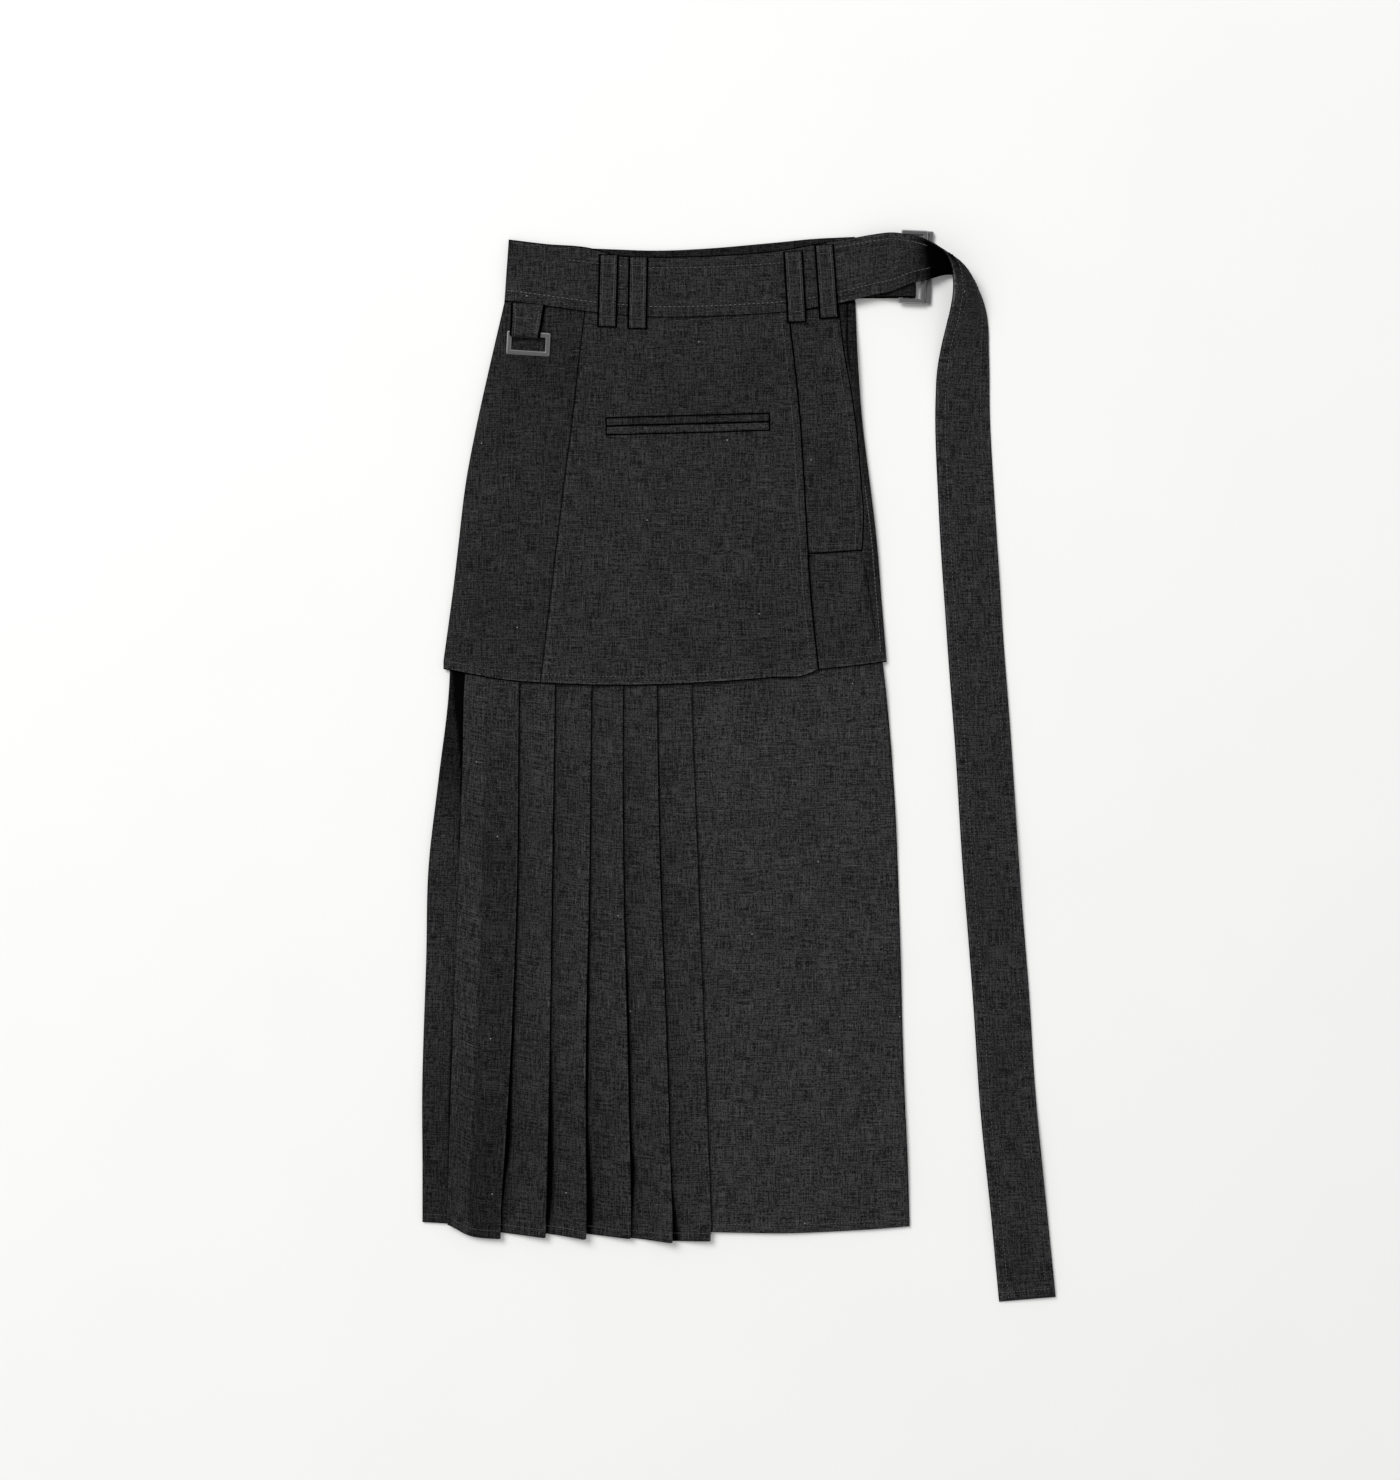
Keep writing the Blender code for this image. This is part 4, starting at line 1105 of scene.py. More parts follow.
@dataclass
class OverSkirt:
    """Left panel, front flap and right panel of the over-skirt, and the patch under the flap."""

    skirt: Skirt
    step: float = 2.8
    side_shoulder: float = 4.2
    box_shoulder: float = 3.0
    under_flap: float = 25.0
    patch_under: float = 12.0
    waist_rows: tuple = (0.0018, 0.0042)
    hem_line: float = 7.0
    # Painted highlight along the hem's edge; painted shade toward the waist and past the patch's
    # edge; painted light per panel, painted shade where below 0.
    hem_highlight: float = 0.7
    top_shade: float = 0.11
    outer_shade: float = 0.3
    panel_painted_light: tuple = (-0.13, 0.0, -0.06)
    patch_tone: float = -0.08
    edge_stitch_in: float = 6.0
    strip_line: Curve = Curve((415, 375, 360, 346), (97, 97, 98.6, 101))
    fold_line: Curve = Curve((208, 193.7, 164, 112.7, 94), (109.8, 111, 117.2, 124.3, 126.5))

    def lay(self, name: str, left: Callable, right: Callable, hem: Callable, floor: Height,
            across: Array, flat: tuple, rests_on: Sequence[str], seams: tuple,
            shade: tuple, tone: float) -> Sheet:
        """Lay one panel between its edges on its floor, with a stitched hem.

        Args:
            name: the node that it stands for.
            left: x of its left edge at y.
            right: x of its right edge at y.
            hem: y of its hem at x.
            floor: height of its lower face at x and y.
            across: parts of its width at which it has columns.
            flat: width and length that it was cut to.
            rests_on: what it lies on.
            seams: whether its left and its right side are sewn down in a seam, 1 or 0.
            shade: how far its black rim, painted as a shadow line, stands out on each side.
            tone: painted light over the whole panel, painted shade where it is below 0.
        Returns:
            The panel.
        """
        down = np.sort(np.append(spaced(330, self.step, 1.5, 14), self.waist_rows))
        x, y = lay_panel(left, right, LAY.waist, hem, across, down)
        away = y - hem(x)
        sides = (x - left(y), right(y) - x)
        z = floor(x, y) + CLOTH / 2 + self.skirt.over(x, y) + hem_form(away, self.hem_line, x)
        # Painted highlight along the hem's edge, painted light over the panel, painted shade toward
        # the waist.
        painted_light_and_wear = self.hem_highlight * bell(away - 0.3, 0.9) + tone - self.top_shade * ease((y - 250) / 90)
        # A sewn side sinks into a seam, with a painted shadow line in it and a painted highlight
        # beside it.
        for seam, side in zip(seams, sides):
            z = z - seam * 0.75 * bell(side, 1.1)
            painted_light_and_wear = painted_light_and_wear + seam * (0.12 * bell(side - 1.8, 0.8) - 1.05 * bell(side, 0.5))
        # A groove along the strip line with a painted shadow line in it, and a painted shadow under
        # the waistband's edge.
        strip = x - self.strip_line(y)
        part = ease((y - 346) / 14) * (sides[1] < 26)
        z = z - 0.45 * part * bell(strip, 1.1)
        painted_light_and_wear = painted_light_and_wear - 0.8 * part * bell(strip, 0.8) - 1.1 * bell(LAY.waist(x) - y, 0.95)
        # A pressed fold: a painted highlight on its crest and painted shade beside it.
        pressed = x - self.fold_line(y)
        part = ease((208 - y) / 14) * ease((y - 96) / 22)
        z = z + part * (0.35 * bell(pressed, 0.9) - 0.35 * bell(pressed + 1.9, 0.9))
        painted_light_and_wear = painted_light_and_wear + part * (0.3 * bell(pressed, 0.6) - 0.55 * bell(pressed + 1.7, 0.9))
        # Painted shade past the patch's edge.
        outer = ease((x - LAY.patch_edge(y) - 0.5) / 3.5) * ease((y - 110) / 60)
        painted_light_and_wear = painted_light_and_wear - self.outer_shade * outer
        sheet = Sheet(name, np.dstack([x, y, z]), np.clip(painted_light_and_wear, -1, 1), shade=shade)
        self.skirt.dress(sheet, flat=flat, rests_on=rests_on)
        return sheet

    def left_floor(self, x: Array, y: Array) -> Array:
        """Floor of the left panel: a shoulder at its edge, a slope, a step over the box fold.

        Args:
            x: places across in mm.
            y: places up in mm.
        Returns:
            Height of the panel's lower face: the back's plus the three rises.
        """
        left, box = LAY.over_left(y), LAY.box_fold(y)
        first = ease((x - left) / self.side_shoulder) * (LAY.mid_z - LAY.long_back_z)
        slope = np.clip((x - left - self.side_shoulder)
                        / (box - self.box_shoulder - left - self.side_shoulder), 0, 1)
        second = slope * (LAY.flap_z - CLOTH - LAY.mid_z)
        third = np.clip((x - box + self.box_shoulder) / self.box_shoulder, 0, 1) * CLOTH
        return LAY.long_back_z + first + second + third

    def flap_floor(self, x: Array, y: Array) -> Array:
        """Floor of the flap: level, and one layer lower at its right below the patch."""
        fallen = np.clip((150 - y) / 40, 0, 1) * (CLOTH + GAP)
        reach = np.clip((x - LAY.knife_folds[-1](y) - 12) / 30, 0, 1)
        return LAY.flap_z - fallen * reach

    def right_floor(self, x: Array, y: Array) -> Array:
        """Floor of the right panel: level, and down at its right side."""
        side = 1 - np.clip((LAY.over_right(y) - x) / self.side_shoulder, 0, 1)
        return LAY.mid_z - side * (LAY.mid_z - LAY.long_back_z)

    def build(self) -> None:
        """Lay the four panels and sew their hems and edges."""
        skirt = self.skirt
        front = ["pleated_front_cloth"]
        left = self.lay("overskirt_left", LAY.over_left, lambda y: LAY.left_seam(y) - GAP,
                        LAY.short_hem, self.left_floor, fine_ends(88, 2.3), (0.098, 0.345), front,
                        (0, 1), (0, 0, 1.2, 0.7), self.panel_painted_light[0])
        flap = self.lay("overskirt_flap", LAY.left_seam, LAY.flap_edge, LAY.short_hem,
                        self.flap_floor, fine_ends(236, self.step), (0.254, 0.345), front,
                        (1, 0), (0, 1.5, 1.2, 0), self.panel_painted_light[1])
        near = np.linspace(62, 87, 22)
        across = np.concatenate([np.linspace(0, 60, 22), near, [87.6, 88]]) / 88
        right = self.lay("overskirt_right", lambda y: LAY.flap_edge(y) - self.under_flap,
                         LAY.over_right, LAY.right_hem, self.right_floor, across, (0.096, 0.345),
                         ["plain_front_cloth"], (0, 0), (0, 0.8, 1.0, 0), self.panel_painted_light[2])
        x, y = lay_panel(lambda v: LAY.flap_edge(v) - self.patch_under, LAY.patch_edge, LAY.waist,
                         LAY.patch_bottom, fine_ends(62, 2.6), spaced(220, 2.6, 1.0, 6))
        z = LAY.top_z + CLOTH / 2 + skirt.over(x, y)
        past = LAY.patch_edge(y) - x
        z = (z - 0.25 * bell(past - self.edge_stitch_in, 1.4)
             + 0.12 * np.sin(y * 0.7) * bell(past - self.edge_stitch_in / 2, 3.0))
        # Black rims at the right side and the bottom are painted shadow lines.
        patch = Sheet("pocket_patch", np.dstack([x, y, z]),
                      0.14 * bell(past, 1.0) + self.patch_tone, shade=(0, 1.1, 1.3, 0))
        skirt.dress(patch, flat=(0.066, 0.226), area=0.0136, rests_on=["overskirt_right_cloth"])
        for sheet in (left, flap, right):
            skirt.sew(sheet.from_hem(self.hem_line, lift=0.02), 3.6, 2.0, 0.34)
        skirt.sew(flap.from_side(self.edge_stitch_in, 0.0, 0.97), thick=0.28)
        skirt.sew(patch.from_side(self.edge_stitch_in), thick=0.28)
        skirt.sew(patch.from_hem(5.0, 0.2, 0.95, 0.05))
        skirt.sew(right.from_side(5.2, 0.5, 0.97, 0.1), 3.6, 2.3, 0.55)


@dataclass
class WeltPocket:
    """Two lips of the welt pocket, side by side on the flap, with a slot between them that their
    black rims paint dark as shade.
    """

    skirt: Skirt
    left: float = -119.0
    right: float = 26.0
    left_y: float = 304.3
    right_y: float = 308.4
    lip: float = 6.2
    slot: float = 1.8
    wall: float = 0.8
    pillow: float = 0.35

    def build(self) -> None:
        """Lay both lips on the flap's relief, each a low pillow: a half wave from edge to edge."""
        across, down = spaced(self.right - self.left, 2.0), spaced(self.lip, 0.8)
        # The last number is painted shade over each lip, deeper on the upper one.
        for name, side, tone in (("welt_upper", 1.0, -0.3), ("welt_lower", -1.0, -0.06)):
            x = np.broadcast_to(self.left + (self.right - self.left) * across,
                                (len(down), len(across)))
            middle = self.left_y + (self.right_y - self.left_y) * across
            from_slot = self.slot / 2 + self.lip * (1 - down if side > 0 else down)[:, None]
            y = middle + side * from_slot
            pillow = self.pillow * np.sin(math.pi * np.clip(down, 0.02, 0.98))[:, None]
            z = (LAY.flap_z + CLOTH + GAP + self.wall / 2 + pillow + self.skirt.over(x, y)
                 + 0.1 * np.sin(x * 0.31 + side))
            # A painted shadow line along the upper lip's top edge; the middle of each lip a little
            # lighter; black rims as painted shadow lines.
            seam = 0.7 * bell(down[:, None] * self.lip, 0.7) * (side > 0)
            painted_light_and_wear = tone + 0.12 * bell(down[:, None] - 0.5, 0.4) - seam
            lip = Sheet(name, np.dstack([x, y, z]), painted_light_and_wear, self.wall, shade=(1.4, 1.4, 1.2, 1.4))
            self.skirt.dress(lip, flat=(0.145, 0.010), rests_on=["overskirt_flap_cloth"])


@dataclass
class Waistband:
    """Back and front of the waistband, and the four belt loops sewn over the front."""

    skirt: Skirt
    left: float = -211.0
    right: float = 104.0
    front_right: float = 78.0
    back_wall: float = 2.3
    front_wall: float = 1.8
    lower_z: float = 5.8
    upper_z: float = 2.9
    side: float = 9.0
    lean: float = 3.8
    lean_over: float = 40.0
    upper_x: tuple = (-117.4, -90.9, 48.1, 76.0)
    upper_y: tuple = (458.4, 456.4, 461.4, 467.6)
    lower_x: tuple = (-119.0, -91.9, 51.5, 80.3)
    lower_y: tuple = (394.4, 392.9, 398.8, 402.5)
    loop_width: float = 14.0
    loop_length: float = 61.5
    loop_wall: float = 1.0
    loop_stitch_in: float = 1.9
    tack_rows: tuple = (6.0, 44.0)
    stitch_lines: tuple = (8.9, 44.2)
    step_down: float = 6.0

    def floor(self, x: Array, y: Array) -> Array:
        """Height of the front band's lower face: it falls from its lower edge to its top."""
        low, high = LAY.band_low(x), LAY.band_front(x)
        return between((self.lower_z, self.upper_z), np.clip((y - low) / (high - low), 0, 1))

    def sink(self, x: Array, from_low: Array, from_top: Array) -> Array:
        """Quilting of the band: a bell down at both stitch lines, ripples up and down between.

        Args:
            x: places across in mm.
            from_low: distance from the lower edge.
            from_top: distance from the top edge.
        Returns:
            Offset in mm.
        """
        pucker = np.sin(x * 0.83 + 1.7 * np.sin(x * 0.061)) * (0.6 + 0.4 * np.sin(x * 0.137 + 2))
        return (-0.3 * bell(from_low - 8.5, 1.7) - 0.16 * bell(from_top - 5.5, 1.7)
                + 0.2 * pucker * bell(from_low - 5.0, 6.0)
                + 0.28 * np.sin(x * 0.052) * bell(from_low - 28, 18))

    def build(self) -> None:
        """Lay the two bands and sew on the loops."""
        skirt = self.skirt
        at, x, y = self.spread(self.right, 2.4, LAY.band_back, spaced(50, 2.0, 1.0, 50))
        # Painted shade on the back band where it shows above the front band.
        back_band_shade = ease((at + 165) / 30) * ease((100 - at) / 20)
        z = np.full_like(x, self.back_wall / 2 + 0.1)
        back = Sheet("waistband_back", np.dstack([x, y, z]), -0.5 * back_band_shade, self.back_wall)
        skirt.dress(back, flat=(0.320, 0.062), area=0.0197, held="folded")

        at, x, y = self.spread(self.front_right, 1.6, LAY.band_front,
                               fine_ends(52, 1.5, (0.6, 1.3)))
        from_low, from_top = y - LAY.band_low(at), LAY.band_front(at) - y
        edge = ease((at - self.left) / self.side)
        z = (self.upper_z + (self.floor(x, y) - self.upper_z) * edge + self.front_wall / 2 + 0.2
             + self.sink(x, from_low, from_top))
        round_off = 1 - 0.55 * bell(from_low, 1.0) - 0.55 * bell(from_top, 1.0)
        # Painted shade in the grooves at both stitch lines; below, a painted highlight along the
        # lower edge and black rims as painted shadow lines.
        low_line, high_line = self.stitch_lines
        stitched = (-0.4 * bell(from_low - low_line, 1.1)
                    - 0.25 * bell(from_low - high_line, 0.9))
        front = Sheet("waistband_front", np.dstack([x, y, z]),
                      0.14 * bell(from_low - 0.4, 1.0) + stitched - 0.05,
                      self.front_wall * round_off, shade=(1.3, 0, 1.5, 0.7))
        skirt.dress(front, flat=(0.290, 0.062), area=0.0165, held="folded",
                    rests_on=["waistband_back_cloth"])
        skirt.sew(front.from_hem(low_line, lift=0.16), 4.2, 2.1, 0.8)
        skirt.sew(front.from_hem(high_line, 0.2, 0.98, lift=0.1), 4.2, 2.1, 0.5)
        self.make_loops()

    def spread(self, right: float, step: float, top: Curve, down: Array) -> tuple:
        """Spread a band to its right end; its top leans in near its left end.

        Args:
            right: x of that end.
            step: spacing across in mm.
            top: y of its top edge at x.
            down: parts from its top to its lower edge.
        Returns:
            Places across, and grids of x and y.
        """
        at = self.left + (right - self.left) * fine_ends(right - self.left, step)
        lean = self.lean * np.clip(1 - (at - self.left) / self.lean_over, 0, 1)
        down = down[:, None]
        return at, at + lean * (1 - down), between((top(at), LAY.band_low(at)), down)

    def make_loops(self) -> None:
        """Sew the loops over the band: down its front, then over the step to the panels."""
        for number in range(4):
            upper = np.array([self.upper_x[number], self.upper_y[number]])
            lower = np.array([self.lower_x[number], self.lower_y[number]])
            down = (lower - upper) / np.linalg.norm(lower - upper)
            side = np.array([-down[1], down[0]])
            parts = spaced(self.loop_length, 1.2)[:, None, None]
            spread = (np.linspace(-0.5, 0.5, 13) * self.loop_width)[None, :, None]
            grid = upper + (lower - upper) * parts + side * spread
            x, y = grid[..., 0], grid[..., 1]
            past = ease((LAY.band_low(x) - y) / self.step_down)
            band = self.floor(x, y) + 2.2 + GAP
            over = LAY.flap_z + CLOTH + GAP + self.skirt.over(x, y)
            run = parts[..., 0] * self.loop_length
            ends = bell(run, 8.0) + bell((1 - parts[..., 0]) * self.loop_length, 7.0)
            edge = np.abs(spread[..., 0]) / (self.loop_width / 2)
            z = (band + (over - band) * past + 0.25 + self.loop_wall / 2
                 + 0.7 * (1 - ends) * (1 - past)
                 + 0.3 * bell(edge - 0.95, 0.25) - 0.25 * bell(run - 7.0, 1.5))
            # Painted highlight and wear along the loop's edges, painted shade at the bar tack; the
            # black rims are painted shadow lines.
            tack = bell(run - 7.2, 0.9)
            loop = Sheet(f"belt_loop_{number + 1}", np.dstack([x, y, z]),
                         0.32 * bell(edge - 1.0, 0.1) - 0.35 * tack, self.loop_wall, Grain.ALONG,
                         (1.1, 1.8, 1.2, 2.1))
            self.skirt.dress(loop, flat=(0.030, 0.070), area=0.0010, held="folded",
                             rests_on=["waistband_front_cloth"])
            for right in (True, False):
                self.skirt.sew(loop.from_side(self.loop_stitch_in, right=right, lift=0.03),
                               2.2, 1.7, 0.36)
            columns = np.linspace(1.5, 10.5, 40)
            for row in self.tack_rows:
                self.skirt.sew(loop.on_face(np.full(40, row), columns, 0.05), 1.9, 1.8)


@dataclass
class Belt:
    """Belt: on from the front waistband, turned over at the buckle, then down on the ground."""

    skirt: Skirt
    wall: float = 1.8
    width: float = 49.5
    end_slant: float = 4.5
    hem_line: float = 7.5
    # Where painted shade lies on the turned face, and where a painted highlight lies on its upper
    # edge at the turn.
    turn_shade_at: float = 104.0
    turn_shade_over: float = 19.0
    rim_highlight_at: float = 128.0
    rim_highlight_over: float = 26.0
    lies_from: float = 330.0
    lies_over: float = 120.0
    rows: int = 330
    columns: int = 25
    stitch_in: float = 8.0
    upper: tuple = (
        (78.3, 99.5, 119.5, 137, 153, 165, 175.5, 183, 187.5, 190, 191, 189.5, 186, 182, 178.5,
         177.5),
        (469.5, 472.7, 475.9, 477.5, 475, 471, 464.5, 457.5, 449, 439, 426, 411, 394.5, 376.5,
         354, 329.5),
        (2.9, 4.5, 6.8, 8.4, 10.5, 16, 21, 24.5, 26, 25.5, 23, 18, 12, 7, 3, 0.5))
    lower: tuple = (
        (78.3, 99.5, 119.5, 137.5, 154, 171, 183, 191.5, 199, 208, 216, 221.5, 224, 224.5, 225,
         225),
        (413.5, 418, 422.8, 426.5, 433, 437, 441, 442, 441, 435.5, 425.5, 411, 394, 374.5, 351.5,
         327.5),
        (5.8, 6.4, 7.2, 8.2, 8.4, 8.2, 5, 2.5, 1, 0, 0, 0, 0, 0, 0, 0))
    bulge: tuple = (0, 0, 0, 0, 0, 2, 4, 6, 7, 7.5, 7, 6, 5, 3.5, 2, 1)
    hang_y: tuple = (229.5, 121.5, 13.5, -94.5, -202.5, -310.5, -418.5, -480.5)
    hang_x: tuple = (205.2, 212, 220, 226.8, 235.4, 242.6, 253.4, 259.5)

    def build(self) -> None:
        """Carry the belt's cross-section along its two edge lines and sew its edges."""
        hang = np.stack([self.hang_x, self.hang_y, np.zeros(len(self.hang_y))], axis=1)
        half = np.array([self.width / 2, 0, 0])
        upper = np.vstack([np.stack(self.upper, axis=1), hang - half])
        lower = np.vstack([np.stack(self.lower, axis=1), hang + half])
        upper[-1, 1] -= self.end_slant / 2
        lower[-1, 1] += self.end_slant / 2
        bulge = np.concatenate([self.bulge, np.zeros(len(self.hang_y))])
        middle = (upper + lower) / 2
        at = along_rows(middle)
        where = np.linspace(0, at[-1], self.rows)
        upper, lower = (np.stack([Curve(tuple(at), tuple(line[:, k]))(where) for k in range(3)],
                                 axis=1) for line in (upper, lower))
        bulge = Curve(tuple(at), tuple(bulge))(where)
        middle = (upper + lower) / 2
        chord = upper - lower
        chord /= np.linalg.norm(chord, axis=1)[:, None]
        outward = np.cross(chord, np.gradient(middle, axis=0))
        outward /= np.linalg.norm(outward, axis=1)[:, None]
        part = np.linspace(0, 1, self.columns)
        arch = 4 * part * (1 - part)
        points = (upper[:, None] + (lower - upper)[:, None] * part[None, :, None]
                  + (outward * bulge[:, None])[:, None] * arch[None, :, None])
        left = where[-1] - where[:, None]
        wide = part * self.width
        lying = ease((where[:, None] - self.lies_from) / self.lies_over)
        wave = (0.9 * (1 + np.sin(where[:, None] * 0.021 + 0.6)) * (0.4 + 0.6 * part)
                + 0.5 * (1 + np.sin(where[:, None] * 0.047 + wide * 0.05)))
        edge = np.minimum(wide, self.width - wide)
        pucker = 0.16 * np.sin(where[:, None] * 0.7 + wide * 0.02) * bell(edge - 4.0, 5.0)
        points[..., 2] = (np.maximum(points[..., 2], 0) + 1.0 + lying * wave + pucker
                          + 0.1 - 0.22 * bell(edge - self.stitch_in, 1.8)
                          * ease(where[:, None] / 40)
                          - 0.25 * bell(left - self.hem_line, 1.6))
        thick = self.wall * (1 - 0.5 * bell(edge, 1.5))
        # Painted shade on the turned face and a painted highlight on its upper edge there;
        # elsewhere painted highlight and wear along the edges, painted shade at the stitch lines,
        # black rims as painted shadow lines.
        turned = np.minimum(1.5 * bell(where[:, None] - self.turn_shade_at, self.turn_shade_over), 1.0)
        rim = bell(wide, 1.6) * bell(where[:, None] - self.rim_highlight_at, self.rim_highlight_over)
        painted_light_and_wear = ((0.35 * bell(edge, 1.2) - 0.2 * bell(edge - self.stitch_in, 0.9)) * (1 - turned)
                - turned + 1.15 * rim)
        belt = Sheet("belt", points, painted_light_and_wear, thick, Grain.ALONG, (0, 0.5, 0.8, 0.9))
        self.skirt.dress(belt, flat=(0.1, 1.100), area=0.0560, held="folded",
                         rests_on=["waistband_back_cloth"])
        back = Sheet("belt", points[:, ::-1], thick=thick[::-1])
        for right, size, start in ((True, 0.3, 5.0), (False, 0.38, 9.5)):
            self.skirt.sew(belt.from_side(self.stitch_in, 0.1, 1.0, 0.02, right), 3.6, 2.0, size)
            self.skirt.sew(back.from_side(start, 0.0, 0.088, 0.08, right), 3.8, 2.2, 0.5)
        self.skirt.sew(belt.from_hem(self.hem_line, 0.04, 0.96, 0.04))


@dataclass(frozen=True)
class FlatRing:
    """Rectangular ring of flat bar: rounded outer corners and a chamfer round both faces."""

    width: float
    height: float
    bar: float
    thick: float
    chamfer: float = 1.1
    softened: float = 0.18
    corner: float = 1.7

    def mesh(self, name: str, middle: Array, spin: Array) -> bpy.types.Mesh:
        """Carry a profile round a rounded rectangle, close it and put it in its place.

        Each place of the profile has an inset from the outer line; the corner radius there is the
        outer one less the inset, and never less than a third of a millimetre.
        Args:
            name: the mesh's name.
            middle: place of the ring's own origin in mm.
            spin: 3 by 3 turning matrix.
        Returns:
            The mesh, flat-shaded, with a painted highlight on its chamfers.
        """
        half, cut, bar, soft = self.thick / 2, self.chamfer, self.bar, self.softened
        # Third column: painted highlight, full on the chamfers and faint on the faces.
        inset, z, painted_light_and_wear = np.array([
            (0, cut - half, .3), (0, half - cut, .3), (soft, half - cut + soft, 1),
            (cut - soft, half - soft, 1), (cut, half, 0.1), (bar - cut, half, 0.1),
            (bar - cut + soft, half - soft, 1), (bar - soft, half - cut + soft, 1),
            (bar, half - cut, .3), (bar, cut - half, .3), (bar - cut, -half, .5),
            (cut, -half, .5)]).T
        radius = np.maximum(self.corner - inset, 0.35)
        quarter = np.linspace(0, math.pi / 2, 6)
        angle = np.concatenate([quarter + k * math.pi / 2 for k in range(4)])[:, None]
        sx, sy = np.repeat([[1, -1, -1, 1], [1, 1, -1, -1]], 6, axis=1)[..., None]
        x = sx * (self.width / 2 - inset - radius) + radius * np.cos(angle)
        y = sy * (self.height / 2 - inset - radius) + radius * np.sin(angle)
        points = np.stack([x, y, np.broadcast_to(z, x.shape)], axis=-1)
        rows, columns = x.shape
        number = np.arange(rows * columns).reshape(rows, columns)
        after, beside = np.roll(number, -1, axis=0), np.roll(number, -1, axis=1)
        quads = np.stack([number, after, np.roll(after, -1, axis=1), beside], axis=-1)
        mesh = build_mesh(name, points.reshape(-1, 3) @ spin.T + middle, quads.reshape(-1, 4),
                          painted_light_and_wear=np.tile(painted_light_and_wear, rows))
        mesh.polygons.foreach_set("use_smooth", np.zeros(len(mesh.polygons), dtype=bool))
        return mesh


def turning(x: float = 0.0, z: float = 0.0) -> Array:
    """Turn about X, then about Z.

    Args:
        x: radians about X.
        z: radians about Z.
    Returns:
        The 3 by 3 matrix, cosines and sines of both angles multiplied out.
    """
    cx, sx, cz, sz = math.cos(x), math.sin(x), math.cos(z), math.sin(z)
    about_x = np.array([[1, 0, 0], [0, cx, -sx], [0, sx, cx]])
    about_z = np.array([[cz, -sz, 0], [sz, cz, 0], [0, 0, 1]])
    return about_z @ about_x


def strip_path(corners: Array, radius: float, steps: int = 6) -> Array:
    """Round an open path's corners: a quadratic through each, from and to radius away.

    Args:
        corners: the path's points, two numbers each.
        radius: distance from a corner at which its bend starts.
        steps: places on each bend.
    Returns:
        The path with its bends.
    """
    parts = [corners[:1]]
    t = np.linspace(0, 1, steps)[:, None]
    for before, corner, after in zip(corners, corners[1:], corners[2:]):
        a, b = before - corner, after - corner
        start = corner + a * min(radius / np.linalg.norm(a), 0.49)
        stop = corner + b * min(radius / np.linalg.norm(b), 0.49)
        parts.append((1 - t) ** 2 * start + 2 * t * (1 - t) * corner + t * t * stop)
    return np.vstack([*parts, corners[-1:]])


@dataclass
class SideRing:
    """Tab folded round the ring's top bar, and the ring that swings in it."""

    skirt: Skirt
    ring: FlatRing = FlatRing(38.9, 20.8, 4.2, 2.4)
    x: float = -189.1
    y: float = 386.6
    tilt: float = math.radians(-3.6)
    droop: float = math.radians(7.3)
    tab_width: tuple = (23.0, 26.4)
    tab_shift: tuple = (-3.45, -2.5)
    tab_length: float = 27.5
    loop_radius: float = 3.05
    pinch: float = 9.0
    shell: float = 0.9
    stitch_in: float = 2.3

    def build(self) -> None:
        """Loft the tab's strip across its width, and set the ring on its bar's line."""
        z = LAY.flap_z + CLOTH + GAP + self.loop_radius + CLOTH / 2
        lower, upper = -self.loop_radius, CLOTH + GAP - self.loop_radius
        stop = (math.atan2(upper, self.pinch)
                + math.acos(self.loop_radius / math.hypot(self.pinch, upper)))
        angle = np.linspace(-math.pi / 2, stop - 2 * math.pi, 22)
        arc = self.loop_radius * np.stack([np.cos(angle), np.sin(angle)], axis=1)
        path = np.vstack([np.linspace((self.tab_length, lower), (1.0, lower), 12), arc,
                          [(self.pinch - 3, upper + 0.9), (self.pinch, upper)],
                          np.linspace((self.pinch + 2, upper), (self.tab_length, upper), 8)])
        path = path[::-1]
        part = np.clip(path[:, :1] / self.tab_length, 0, 1)
        wide, shift = between(self.tab_width, part), between(self.tab_shift, part)
        across = np.linspace(-0.5, 0.5, 21) * wide
        grid = np.stack(np.broadcast_arrays(across + shift, path[:, :1], path[:, 1:]), axis=-1)
        spin = turning(z=self.tilt)
        place = np.array([self.x, self.y, z])
        # Lighter edges, and black rims at the sides as painted shadow lines.
        edge = wide / 2 - np.abs(across)
        tab = Sheet("ring_tab", grid @ spin.T + place, 0.2 * bell(edge - 0.5, 0.9), self.shell,
                    Grain.ALONG, (0.3, 2.4, 0, 2.2))
        self.skirt.dress(tab, flat=(0.024, 0.064), area=0.0015, held="folded",
                         rests_on=["overskirt_left_cloth"])
        for right in (True, False):
            self.skirt.sew(tab.from_side(self.stitch_in, 0.05, 0.45, 0.1, right), 3.0, 1.9, 0.55)
        self.skirt.sew(tab.on_face(np.full(30, 5.5), np.linspace(1.5, 14.5, 30), 0.04), 2.2, 1.9)
        away = np.array([0, -(self.ring.height - self.ring.bar) / 2, 0])
        turned = turning(self.droop, self.tilt)
        ring = self.ring.mesh("side_ring_metal", place + turned @ away, turned)
        place_piece(ring, self.skirt.metal, Body.RING, ("side_ring",))


